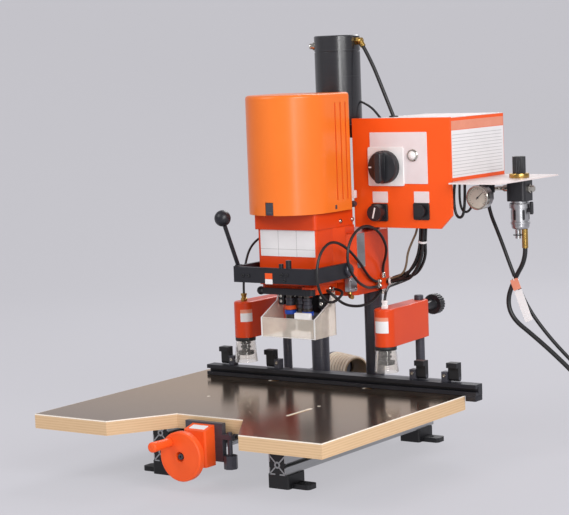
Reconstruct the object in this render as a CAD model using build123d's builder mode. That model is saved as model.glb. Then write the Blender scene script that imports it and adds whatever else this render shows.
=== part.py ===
from build123d import *
import math
import os

os.makedirs("parts", exist_ok=True)

# Driving dimensions in mm: X along the fence, Y to the rear, Z up from the bench
RAIL_X, RAIL_Y0, RAIL_Y1 = 147.0, -280.0, 290.0
RAIL_W, RAIL_H, FOOT_H = 40.0, 80.0, 28.0
FOOT_Y, BOLT_X, BOLT_R = 250.0, 187.0, 4.5
TABLE_Z, TABLE_T, TABLE_HALF = 108.0, 30.0, 357.0
TABLE_Y0, TABLE_Y1 = -429.0, 164.0
NOTCH_OUT, NOTCH_IN, NOTCH_Y = 165.0, 83.5, -302.0
PLATE_Z, PLATE_T = 108.0, 22.0
COLUMN_X, COLUMN_Y, COLUMN_R = 72.0, 208.0, 20.0
POST_X, POST_Y, POST_R, POST_TOP = 177.0, 228.0, 10.0, 326.0
YOKE_Z, YOKE_T = 672.0, 28.0
CYL_R, CYL_TOP, CYL_BORE = 50.0, 893.0, 45.0
ROD_R, CARRIAGE_TOP, STROKE = 12.5, 470.0, 90.0
SPINDLE_Y, DOWEL_X, DOWEL_DY = 36.0, 22.5, 9.5
CHUCK_Z, CHUCK_R, CHUCK_BORE = 266.0, 10.5, 5.0
COVER_Z, HOUSING_Z, BAND_Z, HOOD_Z = 350.0, 369.0, 487.0, 522.0
HOOD_R, HOOD_Y, HOOD_BACK, HOOD_H = 92.0, 16.0, 116.0, 250.0
FENCE_X0, FENCE_X1, FENCE_Y, FENCE_D = -313.0, 385.0, 100.0, 28.0
FENCE_Z0, FENCE_Z1 = 138.4, 162.0
STOP_PIVOT_Y, STOP_PIVOT_Z, STOP_TOP = 122.0, 169.5, 203.0
SCREW_Z, SCREW_R, CRANK_R = 75.0, 8.0, 50.0
PIVOT_Y, PIVOT_Z = 63.0, 396.0
CLAMP_X, CLAMP_Y, CLAMP_Z0, CLAMP_Z1 = 184.0, 78.0, 236.0, 316.0
PANEL_Y, PANEL_D = 136.0, 6.0
SWITCH_X, SWITCH_Z, SELECT_X, SELECT_Z = 162.5, 611.0, 143.5, 514.0
REG_X, REG_Y, AIR_Z = 405.0, 275.0, 576.0
DUST_LENGTH, DUST_R, DUST_BORE, RIB = 96.0, 34.0, 28.0, 12.0
RUN = 0.05  # radial running clearance


def save(piece, name):
    """Labels one finished piece and writes its file"""
    piece.part.label = name
    export_step(piece.part, f"parts/{name}.step")


def along_y(x, y, z):
    """A plane at a point that faces the rear"""
    return Plane(origin=(x, y, z), x_dir=(1, 0, 0), z_dir=(0, 1, 0))


def along_x(x, y, z):
    """A plane at a point that faces right, with Y across and Z up"""
    return Plane(origin=(x, y, z), x_dir=(0, 1, 0), z_dir=(1, 0, 0))


def fillet_radius(points):
    """The largest bend that every corner of a route has room for"""
    vecs = [Vector(*p) for p in points]
    room = []
    for a, b, c in zip(vecs, vecs[1:], vecs[2:]):
        turn = math.radians((b - a).get_angle(c - b))
        room.append(0.45 * min((b - a).length, (c - b).length) / math.tan(turn / 2))
    return min(room)


def tube(name, points, radius):
    """Sweeps a round section along straight runs joined by tangent arcs"""
    bend = fillet_radius(points)
    with BuildPart() as piece:
        with BuildLine() as route:
            FilletPolyline(*points, radius=bend)
        path = route.wire()
        with BuildSketch(Plane(origin=points[0], z_dir=path % 0)):
            Circle(radius)
        sweep(path=path)
    ratio = piece.part.volume / (math.pi * radius**2 * path.length)
    print(f"{name}: bend {bend:.1f} mm, length {path.length:.0f} mm, volume ratio {ratio:.3f}")
    return piece


# Two T-slot rails carry the whole machine
SLOT = [(-4.1, 0.1), (-4.1, -4.5), (-10, -4.5), (-10, -8), (-5.5, -12.3),
        (5.5, -12.3), (10, -8), (10, -4.5), (4.1, -4.5), (4.1, 0.1)]
with BuildPart() as base_rails:
    for side in (-1, 1):
        with BuildSketch(along_y(side * RAIL_X, RAIL_Y0, FOOT_H + RAIL_H / 2)):
            Rectangle(RAIL_W, RAIL_H)
            with Locations(Location((0, 40, 0)), Location((0, -40, 0), (0, 0, 180)),
                           Location((20, 20, 0), (0, 0, -90)), Location((20, -20, 0), (0, 0, -90)),
                           Location((-20, 20, 0), (0, 0, 90)), Location((-20, -20, 0), (0, 0, 90))):
                Polygon(*SLOT, align=None, mode=Mode.SUBTRACT)
            with Locations((0, 20), (0, -20)):
                Circle(3.4, mode=Mode.SUBTRACT)
        extrude(amount=RAIL_Y1 - RAIL_Y0)
save(base_rails, "base_rails")

# Four feet with an outward ear and a bench bolt hole each
with BuildPart() as rail_feet:
    for sx in (-1, 1):
        for sy in (-1, 1):
            with BuildSketch():
                with Locations((sx * RAIL_X, sy * FOOT_Y)):
                    RectangleRounded(50, 60, 5)
            extrude(amount=FOOT_H)
            with BuildSketch():
                with Locations((sx * (RAIL_X + 40), sy * FOOT_Y)):
                    RectangleRounded(48, 32, 8)
                with Locations((sx * BOLT_X, sy * FOOT_Y)):
                    Circle(BOLT_R, mode=Mode.SUBTRACT)
            extrude(amount=10)
save(rail_feet, "rail_feet")

# Film-faced plywood table with a crank notch, guide slots for the fence and a stop slot
with BuildPart() as worktable:
    with BuildSketch(Plane.XY.offset(TABLE_Z)):
        with BuildLine():
            Polyline((-TABLE_HALF, TABLE_Y0), (-NOTCH_OUT, TABLE_Y0), (-NOTCH_IN, NOTCH_Y), (NOTCH_IN, NOTCH_Y),
                     (NOTCH_OUT, TABLE_Y0), (TABLE_HALF, TABLE_Y0), (TABLE_HALF, TABLE_Y1),
                     (-TABLE_HALF, TABLE_Y1), close=True)
        make_face()
        with Locations(Location((142, -190, 0), (0, 0, 90))):
            SlotOverall(88, 10, mode=Mode.SUBTRACT)
        with Locations((-142, -119), (142, -119)):
            Circle(4, mode=Mode.SUBTRACT)
        with Locations((-124, 122), (124, 122)):
            RectangleRounded(24, 68, 4, mode=Mode.SUBTRACT)
    extrude(amount=TABLE_T)
save(worktable, "worktable")

# Rear plate that stands the columns and posts on the rails, with an arm out to the dust port
DUST = Plane(origin=(-157, 390.5, 123), x_dir=(0.423, 0.906, 0), z_dir=(0.906, -0.423, 0))
with BuildPart() as base_plate:
    with BuildSketch(Plane.XY.offset(PLATE_Z)):
        with Locations((0, 234)):
            RectangleRounded(430, 132, 8)
    extrude(amount=PLATE_T)
    with Locations((-192, 345, PLATE_Z + 5)):
        Box(35, 110, 10)
    with BuildSketch(DUST):
        Circle(DUST_R - 1)
        with Locations((-36, -20)):
            Rectangle(72, 30)
        Circle(24, mode=Mode.SUBTRACT)
    extrude(amount=-8)
    with BuildSketch(DUST):
        Circle(DUST_BORE - 0.1)
        Circle(24, mode=Mode.SUBTRACT)
    extrude(amount=30)
save(base_plate, "base_plate")

with BuildPart() as guide_columns:
    with BuildSketch(Plane.XY.offset(PLATE_Z + PLATE_T)):
        with Locations((-COLUMN_X, COLUMN_Y), (COLUMN_X, COLUMN_Y)):
            Circle(COLUMN_R)
    extrude(amount=YOKE_Z - PLATE_Z - PLATE_T)
save(guide_columns, "guide_columns")

with BuildPart() as clamp_posts:
    with BuildSketch(Plane.XY.offset(PLATE_Z + PLATE_T)):
        with Locations((-POST_X, POST_Y), (POST_X, POST_Y)):
            Circle(POST_R)
    extrude(amount=POST_TOP - PLATE_Z - PLATE_T)
    chamfer(clamp_posts.faces().sort_by(Axis.Z)[-2:].edges(), 1.5)
save(clamp_posts, "clamp_posts")

# Yoke across the column tops, with the box bracket on its right
with BuildPart() as column_yoke:
    with BuildSketch(Plane.XY.offset(YOKE_Z)):
        with Locations((8, COLUMN_Y)):
            RectangleRounded(224, 104, 10)
        with Locations((0, COLUMN_Y)):
            Circle(ROD_R + 0.5, mode=Mode.SUBTRACT)
    extrude(amount=YOKE_T)
save(column_yoke, "column_yoke")

# Stroke cylinder: a hollow tube with its end caps and a seam under the top cap
with BuildPart() as air_cylinder:
    with BuildSketch(Plane.XY.offset(YOKE_Z + YOKE_T)):
        with Locations((0, COLUMN_Y)):
            Circle(CYL_R)
    extrude(amount=CYL_TOP - YOKE_Z - YOKE_T)
    chamfer(air_cylinder.faces().sort_by(Axis.Z)[-1].edges(), 2)
    with BuildSketch(Plane.XY.offset(716)):
        with Locations((0, COLUMN_Y)):
            Circle(CYL_BORE)
    extrude(amount=154, mode=Mode.SUBTRACT)
    with BuildSketch(Plane.XY.offset(YOKE_Z + YOKE_T)):
        with Locations((0, COLUMN_Y)):
            Circle(ROD_R + RUN)
    extrude(amount=20, mode=Mode.SUBTRACT)
    with BuildSketch(Plane.XY.offset(857)):
        with Locations((0, COLUMN_Y)):
            Circle(CYL_R + 1)
            Circle(CYL_R - 1.2, mode=Mode.SUBTRACT)
    extrude(amount=2, mode=Mode.SUBTRACT)
save(air_cylinder, "air_cylinder")

ELBOW = Vector(17.5, 0.7, -30.7).normalized()
cylinder_hose = tube("cylinder_hose", [tuple(Vector(61, 208, 879) + ELBOW * 14.1), (86, 209, 836),
                                       (107, 210.5, 787), (143, 213.5, 698)], 4)
save(cylinder_hose, "cylinder_hose")

# Control panel: a shallow tray with a cut corner, and shaft holes
PANEL = [(78.5, -481), (292, -481), (320, -509), (320, -714), (78.5, -714)]
with BuildPart() as control_panel:
    with BuildSketch(along_y(0, PANEL_Y, 0)):
        Polygon(*PANEL, align=None)
    extrude(amount=PANEL_D)
    with BuildSketch(along_y(0, PANEL_Y + 2.5, 0)):
        Polygon(*PANEL, align=None)
        offset(amount=-2.5, kind=Kind.INTERSECTION, mode=Mode.REPLACE)
    extrude(amount=PANEL_D, mode=Mode.SUBTRACT)
    with BuildSketch(along_y(0, PANEL_Y, 0)):
        with Locations((SWITCH_X, -SWITCH_Z), (SELECT_X, -SELECT_Z)):
            Circle(5 + RUN)
        with Locations((247, -518)):
            Circle(8 + RUN)
    extrude(amount=3, mode=Mode.SUBTRACT)
save(control_panel, "control_panel")

with BuildPart() as control_box:
    with Locations((217.5, 259, 645.5)):
        Box(195, 234, 133)
    with Locations((217.5, 258, 645.5)):
        Box(191, 232, 129, mode=Mode.SUBTRACT)
    with BuildSketch(Plane.XY.offset(705)):
        with Locations((137.7, 213)):
            Circle(6.5)
    extrude(amount=10, mode=Mode.SUBTRACT)
save(control_box, "control_box")

# Shelf for the air unit, a sheet under the box
with BuildPart() as air_plate:
    with BuildSketch(Plane.XY.offset(AIR_Z)):
        with BuildLine():
            Polyline((200, 156), (324, 156), (324, 118), (444, 118), (444, 378), (200, 378), close=True)
        make_face()
        with Locations((REG_X, REG_Y)):
            Circle(12.2, mode=Mode.SUBTRACT)
    extrude(amount=3)
save(air_plate, "air_plate")

with BuildPart() as filter_regulator:
    with Locations((REG_X, REG_Y, 553)):
        Box(44, 44, 46)
    fillet(filter_regulator.edges().filter_by(Axis.Z), 8)
    with BuildSketch(Plane.XY.offset(AIR_Z)):
        with Locations((REG_X, REG_Y)):
            Circle(12)
    extrude(amount=3)
    with BuildSketch(Plane.XY.offset(AIR_Z + 3)):
        with Locations((REG_X, REG_Y)):
            Circle(20)
    extrude(amount=9)
    with BuildSketch(Plane.XY.offset(AIR_Z - 10)):
        with Locations((REG_X, REG_Y)):
            Circle(6 + RUN)
    extrude(amount=30, mode=Mode.SUBTRACT)
save(filter_regulator, "filter_regulator")

with BuildPart() as regulator_knob:
    with BuildSketch(Plane.XY.offset(AIR_Z + 12.4)):
        with Locations((REG_X, REG_Y)):
            Circle(14)
    extrude(amount=36)
    chamfer(regulator_knob.faces().sort_by(Axis.Z)[-1].edges(), 2)
    with BuildSketch(Plane.XY.offset(AIR_Z - 8)):
        with Locations((REG_X, REG_Y)):
            Circle(6)
    extrude(amount=21)
save(regulator_knob, "regulator_knob")

with BuildPart() as filter_bowl:
    with BuildSketch(Plane.XY.offset(470)):
        with Locations((REG_X, REG_Y)):
            Circle(19)
    extrude(amount=60)
    fillet(filter_bowl.faces().sort_by(Axis.Z)[0].edges(), 6)
    with BuildSketch(Plane.XY.offset(450)):
        with Locations((REG_X - 6, REG_Y)):
            Circle(6)
    extrude(amount=22)
save(filter_bowl, "filter_bowl")

with BuildPart() as pressure_gauge:
    with BuildSketch(along_y(352, 189, 543)):
        Circle(25)
    extrude(amount=22)
    with BuildSketch(along_y(352, 211, 543)):
        Circle(6)
    extrude(amount=14)
    with Locations((352, 233, 555.5)):
        Box(18, 18, 41)
save(pressure_gauge, "pressure_gauge")

# Fixed fittings: the cylinder's elbow, the bowl's outlet, the cord gland
with BuildPart() as supply_fittings:
    with BuildSketch(along_x(CYL_R, COLUMN_Y, 879)):
        RegularPolygon(9, 6)
    extrude(amount=10)
    with BuildSketch(along_x(CYL_R + 10, COLUMN_Y, 879)):
        Circle(7.5)
    extrude(amount=5)
    with BuildSketch(Plane(origin=(61, COLUMN_Y, 879), z_dir=ELBOW)):
        Circle(6)
    extrude(amount=14)
    with BuildSketch(Plane.XY.offset(430)):
        with Locations((REG_X + 10, REG_Y)):
            Circle(6.5)
    extrude(amount=40)
    with BuildSketch(Plane.XY.offset(552)):
        with Locations((303, 318)):
            RegularPolygon(12, 6)
    extrude(amount=24)
save(supply_fittings, "supply_fittings")

# Crank bracket: an upright plate, its leg under the table and the table lock bolt with its knob
with BuildPart() as crank_bracket:
    with Locations((0, -317, 92)):
        Box(92, 12, 78)
    with Locations((0, -275.5, 103)):
        Box(80, 71, 10)
    with Locations((56, -317, 104)):
        Box(24, 12, 10)
    with BuildSketch(Plane.XY.offset(66)):
        with Locations((60, -317)):
            Circle(5)
    extrude(amount=48)
    with BuildSketch(Plane.XY.offset(40)):
        with Locations((60, -317)):
            RegularPolygon(14, 8)
    extrude(amount=27)
    with BuildSketch(along_y(0, -330, SCREW_Z)):
        Circle(SCREW_R + RUN)
    extrude(amount=30, mode=Mode.SUBTRACT)
save(crank_bracket, "crank_bracket")

with BuildPart() as crank_housing:
    with BuildSketch(along_x(-27, 0, 0)):
        Polygon((-355, 45.5), (-323, 45.5), (-323, 127), (-355, 119), align=None)
    extrude(amount=54)
    fillet(crank_housing.edges().filter_by(Axis.Z).sort_by(Axis.Y)[:2], 5)
    with BuildSketch(along_y(0, -366, SCREW_Z)):
        Circle(22)
    extrude(amount=12)
    with BuildSketch(along_y(0, -370, SCREW_Z)):
        Circle(SCREW_R + RUN)
    extrude(amount=60, mode=Mode.SUBTRACT)
save(crank_housing, "crank_housing")

# Hand wheel, dished on its face, with the stud that the handle spins on
with BuildPart() as crank_wheel:
    with BuildSketch(along_y(0, -403, SCREW_Z)):
        Circle(CRANK_R)
    extrude(amount=16)
    chamfer(crank_wheel.edges(), 2)
    with BuildSketch(along_y(0, -388, SCREW_Z)):
        Circle(17)
    extrude(amount=21.5)
    with BuildSketch(along_y(0, -403, SCREW_Z)):
        Circle(44)
        Circle(16, mode=Mode.SUBTRACT)
        with Locations((-25, -27)):
            Circle(12, mode=Mode.SUBTRACT)
    extrude(amount=2, mode=Mode.SUBTRACT)
    with BuildSketch(along_y(0, -403, SCREW_Z)):
        Circle(10)
    extrude(amount=8, mode=Mode.SUBTRACT)
    with BuildSketch(along_y(0, -395, SCREW_Z)):
        Circle(6.1)
    extrude(amount=40, mode=Mode.SUBTRACT)
    with BuildSketch(along_y(-25, -455, SCREW_Z + 27)):
        Circle(4)
    extrude(amount=53)
save(crank_wheel, "crank_wheel")

with BuildPart() as crank_handle:
    with BuildSketch(along_y(-25, -460, SCREW_Z + 27)):
        Circle(10.5)
    extrude(amount=56.5, taper=1.5)
    fillet(crank_handle.faces().sort_by(Axis.Y)[0].edges(), 4)
    with BuildSketch(along_y(-25, -456, SCREW_Z + 27)):
        Circle(4 + RUN)
    extrude(amount=60, mode=Mode.SUBTRACT)
save(crank_handle, "crank_handle")

with BuildPart() as lead_screw:
    with BuildSketch(along_y(0, -395, SCREW_Z)):
        Circle(6)
    extrude(amount=29)
    with BuildSketch(along_y(0, -366, SCREW_Z)):
        Circle(SCREW_R)
    extrude(amount=526)
save(lead_screw, "lead_screw")

# Fence bar with a face groove, and the carriage that the screw pulls along the rails
with BuildPart() as fence:
    with Locations(((FENCE_X0 + FENCE_X1) / 2, FENCE_Y + FENCE_D / 2, (FENCE_Z0 + FENCE_Z1) / 2)):
        Box(FENCE_X1 - FENCE_X0, FENCE_D, FENCE_Z1 - FENCE_Z0)
    with Locations(((FENCE_X0 + FENCE_X1) / 2, FENCE_Y + 4, 150)):
        Box(FENCE_X1 - FENCE_X0, 8, 7, mode=Mode.SUBTRACT)
    with Locations(((FENCE_X0 + FENCE_X1) / 2, FENCE_Y + 10, 150)):
        Box(FENCE_X1 - FENCE_X0, 4, 13, mode=Mode.SUBTRACT)
save(fence, "fence")

with BuildPart() as fence_carriage:
    for side in (-1, 1):
        with Locations((side * 120.2, 137, 110)):
            Box(12.4, 18, 100)
        with Locations((side * 129, 137, 88)):
            Box(6, 18, 7.6)
    with Locations((0, 137, 75)):
        Box(240, 14, 26)
    with BuildSketch(along_y(0, 122, SCREW_Z)):
        Circle(18)
    extrude(amount=30)
    with BuildSketch(along_y(0, 120, SCREW_Z)):
        Circle(SCREW_R + RUN)
    extrude(amount=40, mode=Mode.SUBTRACT)
save(fence_carriage, "fence_carriage")

# Flip stops: each bracket carries a pin, and the finger swings down in front of the fence
STOPS = [("outer_left_stop", -283, 24, 1), ("inner_left_stop", -157.5, 24, 1),
         ("inner_right_stop", 233, 23, -1), ("outer_right_stop", 311, 25, -1)]
with BuildPart() as stop_brackets:
    for name, x, width, side in STOPS:
        x0 = x + width + 0.3 if side > 0 else x - 14.3
        with Locations((x0 + 7, 120, 172.5)):
            Box(14, 16, 21)
        with BuildSketch(along_y(x0 + 7, 110, 175)):
            Circle(3.5)
        extrude(amount=20, mode=Mode.SUBTRACT)
        with BuildSketch(along_x(x if side > 0 else x0 + 12, STOP_PIVOT_Y, STOP_PIVOT_Z)):
            Circle(4)
        extrude(amount=width + 2.3)
save(stop_brackets, "stop_brackets")

for name, x, width, side in STOPS:
    with BuildPart() as finger:
        with BuildSketch(along_x(x, 0, 0)):
            with Locations((STOP_PIVOT_Y, (STOP_PIVOT_Z + STOP_TOP) / 2)):
                Rectangle(12, STOP_TOP - STOP_PIVOT_Z)
            with Locations((STOP_PIVOT_Y, STOP_PIVOT_Z)):
                Circle(6)
            with Locations((118.2, 197.6)):
                Rectangle(19.6, 10.8)
            with Locations((STOP_PIVOT_Y, STOP_PIVOT_Z)):
                Circle(4 + RUN, mode=Mode.SUBTRACT)
        extrude(amount=width)
    save(finger, name)

# Head casting: carriage on the columns, gear housing in front, motor flange on top
with BuildPart() as head_casting:
    with BuildSketch(Plane.XY.offset(338)) as carriage_plan:
        with BuildLine():
            Polyline((104, 100), (104, 240), (-104, 240), (-104, 100), (-88, 80), (88, 80), close=True)
        make_face()
        fillet(carriage_plan.vertices().group_by(Axis.Y)[-1], 18)
    extrude(amount=CARRIAGE_TOP - 338)
    with BuildSketch(Plane.XY.offset(HOUSING_Z)) as housing_plan:
        with BuildLine():
            Polyline((78, -14), (78, 48), (90, 80), (-88, 80), (-73, 48), (-73, -14), close=True)
        make_face()
        fillet(housing_plan.vertices().group_by(Axis.Y)[0], 5)
    extrude(amount=BAND_Z - HOUSING_Z)
    with BuildSketch(Plane.XY.offset(CARRIAGE_TOP)):
        with Locations((0, 105)):
            Rectangle(158, 52)
    extrude(amount=BAND_Z - CARRIAGE_TOP)
    with BuildSketch(Plane.XY.offset(BAND_Z)):
        with Locations((0, 56.5)):
            RectangleRounded(160, 149, 8)
    extrude(amount=HOOD_Z - BAND_Z)
    for side in (-1, 1):
        with BuildSketch(along_x(side * 60, PIVOT_Y, PIVOT_Z)):
            Circle(11)
        extrude(amount=side * 36.7)
        with BuildSketch(along_x(side * 96, PIVOT_Y, PIVOT_Z)):
            Circle(6)
        extrude(amount=side * 10)
        with BuildSketch(along_x(side * 105.4, PIVOT_Y, PIVOT_Z)):
            Circle(12.5)
        extrude(amount=side * 4)
    with Locations((109, 195, 354)):
        Box(14, 34, 24)
    with BuildSketch(Plane.XY.offset(330)):
        with Locations((-COLUMN_X, COLUMN_Y), (COLUMN_X, COLUMN_Y)):
            Circle(COLUMN_R + RUN)
    extrude(amount=160, mode=Mode.SUBTRACT)
    with BuildSketch(Plane.XY.offset(HOUSING_Z)):
        with Locations((0, 34)):
            RectangleRounded(92, 60, 8)
    extrude(amount=33, mode=Mode.SUBTRACT)
    with BuildSketch(Plane.XY.offset(400)):
        with Locations((0, SPINDLE_Y)):
            Circle(12)
    extrude(amount=HOOD_Z - 398, mode=Mode.SUBTRACT)
save(head_casting, "head_casting")

with BuildPart() as motor:
    with BuildSketch(Plane.XY.offset(HOOD_Z)):
        with Locations((0, SPINDLE_Y)):
            Circle(58)
    extrude(amount=176)
    with BuildSketch(Plane.XY.offset(690)):
        with Locations((0, SPINDLE_Y)):
            Circle(50)
    extrude(amount=20)
    with BuildSketch(Plane.XY.offset(HOOD_Z)):
        with Locations((0, SPINDLE_Y)):
            Circle(8 + RUN)
    extrude(amount=50, mode=Mode.SUBTRACT)
save(motor, "motor")

# Motor hood: a moulded cover with a half-round front, open below, with side grooves and a latch slot
with BuildPart() as motor_hood:
    for wall, mode in ((0, Mode.ADD), (3, Mode.SUBTRACT)):
        r, back = HOOD_R - wall, HOOD_BACK - wall
        with BuildSketch(Plane.XY.offset(HOOD_Z)) as hood_plan:
            with BuildLine():
                Polyline((-r, HOOD_Y), (-r, back), (r, back), (r, HOOD_Y))
                ThreePointArc((r, HOOD_Y), (0, HOOD_Y - r), (-r, HOOD_Y))
            make_face()
            fillet(hood_plan.vertices().group_by(Axis.Y)[-1], 14 - wall)
        extrude(amount=HOOD_H - wall, mode=mode)
        if wall == 0:
            fillet(motor_hood.faces().sort_by(Axis.Z)[-1].edges(), 7)
    with Locations((4, HOOD_Y - HOOD_R, HOOD_Z + 14)):
        Box(20, 10, 28, mode=Mode.SUBTRACT)
    for side in (-1, 1):
        for y in (53, 73, 92):
            with Locations((side * HOOD_R, y, 648.5)):
                Box(4, 5, 206, mode=Mode.SUBTRACT)
save(motor_hood, "motor_hood")

# Gear cover closes the gear chamber, holds the bearings and carries the lever's pin
SPINDLES = [("cup_spindle", 0.0, SPINDLE_Y), ("left_dowel_spindle", -DOWEL_X, SPINDLE_Y - DOWEL_DY),
            ("right_dowel_spindle", DOWEL_X, SPINDLE_Y - DOWEL_DY)]
with BuildPart() as gear_cover:
    with BuildSketch(Plane.XY.offset(COVER_Z)):
        with Locations((0, 32)):
            RectangleRounded(144, 84, 10)
        with Locations(*[(x, y) for name, x, y in SPINDLES]):
            Circle(11, mode=Mode.SUBTRACT)
    extrude(amount=HOUSING_Z - COVER_Z)
    with Locations((66, -20, 366.8)):
        Box(28, 32, 4.4)
    with BuildSketch(Plane.XY.offset(348)):
        with Locations((66, -24)):
            Circle(4)
    extrude(amount=18)
save(gear_cover, "gear_cover")

with BuildPart() as spindle_bearings:
    with BuildSketch(Plane.XY.offset(COVER_Z + 2)):
        with Locations(*[(x, y) for name, x, y in SPINDLES]):
            Circle(11)
            Circle(5 + RUN, mode=Mode.SUBTRACT)
    extrude(amount=15)
save(spindle_bearings, "spindle_bearings")

# Three meshing gear spindles: equal gears, so the cup and dowel spindles turn against each other
TEETH = 16
PITCH_R = math.hypot(DOWEL_X, DOWEL_DY) / 2
LINE = math.degrees(math.atan2(-DOWEL_DY, DOWEL_X))
STEP = 360 / TEETH
SLIP = (180 - 2 * LINE) % STEP
PHASES = {"cup_spindle": LINE, "right_dowel_spindle": LINE + 180 + STEP / 2,
          "left_dowel_spindle": -LINE + SLIP + STEP / 2}
for name, x, y in SPINDLES:
    with BuildPart() as spindle:
        with BuildSketch(Plane.XY.offset(374)):
            with Locations((x, y)):
                points = []
                for k in range(TEETH):
                    a = math.radians(PHASES[name] + k * STEP)
                    for r, d in ((PITCH_R - 1.8, -0.145), (PITCH_R + 1.2, -0.038), (PITCH_R + 1.2, 0.038),
                                 (PITCH_R - 1.8, 0.145)):
                        points.append((r * math.cos(a + d), r * math.sin(a + d)))
                Polygon(*points, align=None)
        extrude(amount=16)
        for z0, z1, r in ((CHUCK_Z, 314, CHUCK_R), (314, 340, 8), (340, 349, 9), (349, 398, 5)):
            with BuildSketch(Plane.XY.offset(z0)):
                with Locations((x, y)):
                    Circle(r)
            extrude(amount=z1 - z0)
        if name == "cup_spindle":
            with BuildSketch(Plane.XY.offset(398)):
                with Locations((x, y)):
                    Circle(8)
            extrude(amount=150)
        with BuildSketch(Plane.XY.offset(CHUCK_Z)):
            with Locations((x, y)):
                Circle(CHUCK_BORE)
        extrude(amount=30, mode=Mode.SUBTRACT)
    save(spindle, name)

# Clear chip guard, open below, hung from the gear cover by its side walls
with BuildPart() as spindle_guard:
    for x in (-70, 67):
        with BuildSketch(along_x(x, 0, 0)):
            Polygon((-18, 256), (62, 256), (62, 350), (50, 350), (42, 328), (-18, 298), align=None)
        extrude(amount=3)
    with Locations((0, -16.5, 277)):
        Box(140, 3, 42)
save(spindle_guard, "spindle_guard")

with BuildPart() as piston_rod:
    with BuildSketch(Plane.XY.offset(CARRIAGE_TOP)):
        with Locations((0, COLUMN_Y)):
            Circle(ROD_R)
    extrude(amount=380)
    with BuildSketch(Plane.XY.offset(846)):
        with Locations((0, COLUMN_Y)):
            Circle(CYL_BORE - 0.1)
    extrude(amount=20)
save(piston_rod, "piston_rod")

# Insertion bracket: a U-shaped strap on two pivots, with its ball lever
with BuildPart() as insertion_bracket:
    with Locations((0, -58, 394.5)):
        Box(210, 8, 33)
    for x in (-105, 97):
        with BuildSketch(along_x(x, 0, 0)):
            with Locations((0.5, 396)):
                Rectangle(125, 32)
            with Locations((PIVOT_Y, PIVOT_Z)):
                Circle(16)
            with Locations((PIVOT_Y, PIVOT_Z)):
                Circle(6 + RUN, mode=Mode.SUBTRACT)
        extrude(amount=8)
    for x, height, r in ((17, 9, 5), (36, 17, 6)):
        with BuildSketch(Plane.XY.offset(411)):
            with Locations((x, -58)):
                Circle(r)
        extrude(amount=height)
    with BuildSketch(along_x(-118, -34, 406)):
        Circle(7)
    extrude(amount=14)
    with BuildSketch(Plane(origin=(-112, -34, 407), z_dir=(0, -50, 106))):
        Circle(4.5)
    extrude(amount=114)
    with Locations((-112, -84, 516)):
        Sphere(17.5)
save(insertion_bracket, "insertion_bracket")

with BuildPart() as gear_lever:
    with BuildSketch(Plane.XY.offset(350.3)):
        with Locations((66, -24)):
            Circle(10)
        Polygon((66, -33), (66, -15), (-62, -20), (-62, -28), align=None)
        with Locations((66, -24)):
            Circle(4 + RUN, mode=Mode.SUBTRACT)
    extrude(amount=13.4)
    with Locations((-62, -24, 357)):
        Sphere(9, rotation=(0, 0, 90))
save(gear_lever, "gear_lever")

# Two hold-down clamps on the posts: arm, clear cone, plunger and lock knob
for side, word in ((-1, "left"), (1, "right")):
    with BuildPart() as arm:
        with BuildSketch(Plane.XY.offset(CLAMP_Z0)):
            with Locations((side * CLAMP_X, CLAMP_Y)):
                Circle(23)
            with Locations((side * POST_X, POST_Y)):
                Circle(20)
            make_hull()
            with Locations((side * POST_X, POST_Y)):
                Circle(POST_R + RUN, mode=Mode.SUBTRACT)
        extrude(amount=CLAMP_Z1 - CLAMP_Z0)
        fillet(arm.faces().sort_by(Axis.Z)[-1].edges().sort_by(Edge.length)[1:], 4)
        with BuildSketch(Plane.XY.offset(CLAMP_Z0)):
            with Locations((side * CLAMP_X, CLAMP_Y)):
                Circle(12 + RUN)
        extrude(amount=66, mode=Mode.SUBTRACT)
        with BuildSketch(Plane.XY.offset(CLAMP_Z1)):
            with Locations((side * CLAMP_X, CLAMP_Y)):
                Circle(4.5)
        extrude(amount=16)
        with BuildSketch(along_y(side * POST_X, POST_Y, 298)):
            Circle(4 + RUN)
        extrude(amount=30, mode=Mode.SUBTRACT)
    save(arm, f"{word}_clamp_arm")

    with BuildPart() as cone:
        with Locations((side * CLAMP_X, CLAMP_Y, 205)):
            Cone(25.5, 21.5, 48)
            Cone(23, 19, 48, mode=Mode.SUBTRACT)
        with BuildSketch(Plane.XY.offset(229)):
            with Locations((side * CLAMP_X, CLAMP_Y)):
                Circle(21.5)
                Circle(12.4, mode=Mode.SUBTRACT)
        extrude(amount=7)
    save(cone, f"{word}_clamp_cone")

    with BuildPart() as plunger:
        with BuildSketch(Plane.XY.offset(204)):
            with Locations((side * CLAMP_X, CLAMP_Y)):
                Circle(12)
        extrude(amount=96)
        with BuildSketch(Plane.XY.offset(197)):
            with Locations((side * CLAMP_X, CLAMP_Y)):
                Circle(17)
        extrude(amount=8)
    save(plunger, f"{word}_clamp_plunger")

    with BuildPart() as knob:
        for y0, y1, r in ((238.4, 250, 4), (248.6, 285, 8), (284, 302, 22.5)):
            with BuildSketch(along_y(side * POST_X, y0, 298)):
                Circle(r)
            extrude(amount=y1 - y0)
    save(knob, f"{word}_clamp_knob")

# Panel controls
with BuildPart() as main_switch_knob:
    with BuildSketch(along_y(SWITCH_X, 98, SWITCH_Z)):
        Circle(35)
    extrude(amount=34)
    fillet(main_switch_knob.faces().sort_by(Axis.Y)[0].edges(), 4)
    with BuildSketch(along_y(SWITCH_X, 131, SWITCH_Z)):
        Circle(5)
    extrude(amount=16)
save(main_switch_knob, "main_switch_knob")

with BuildPart() as selector_knob:
    with BuildSketch(along_y(SELECT_X, 110, SELECT_Z)):
        Circle(17)
    extrude(amount=21)
    with BuildSketch(along_y(SELECT_X, 130, SELECT_Z)):
        Circle(5)
    extrude(amount=16)
save(selector_knob, "selector_knob")

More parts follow.
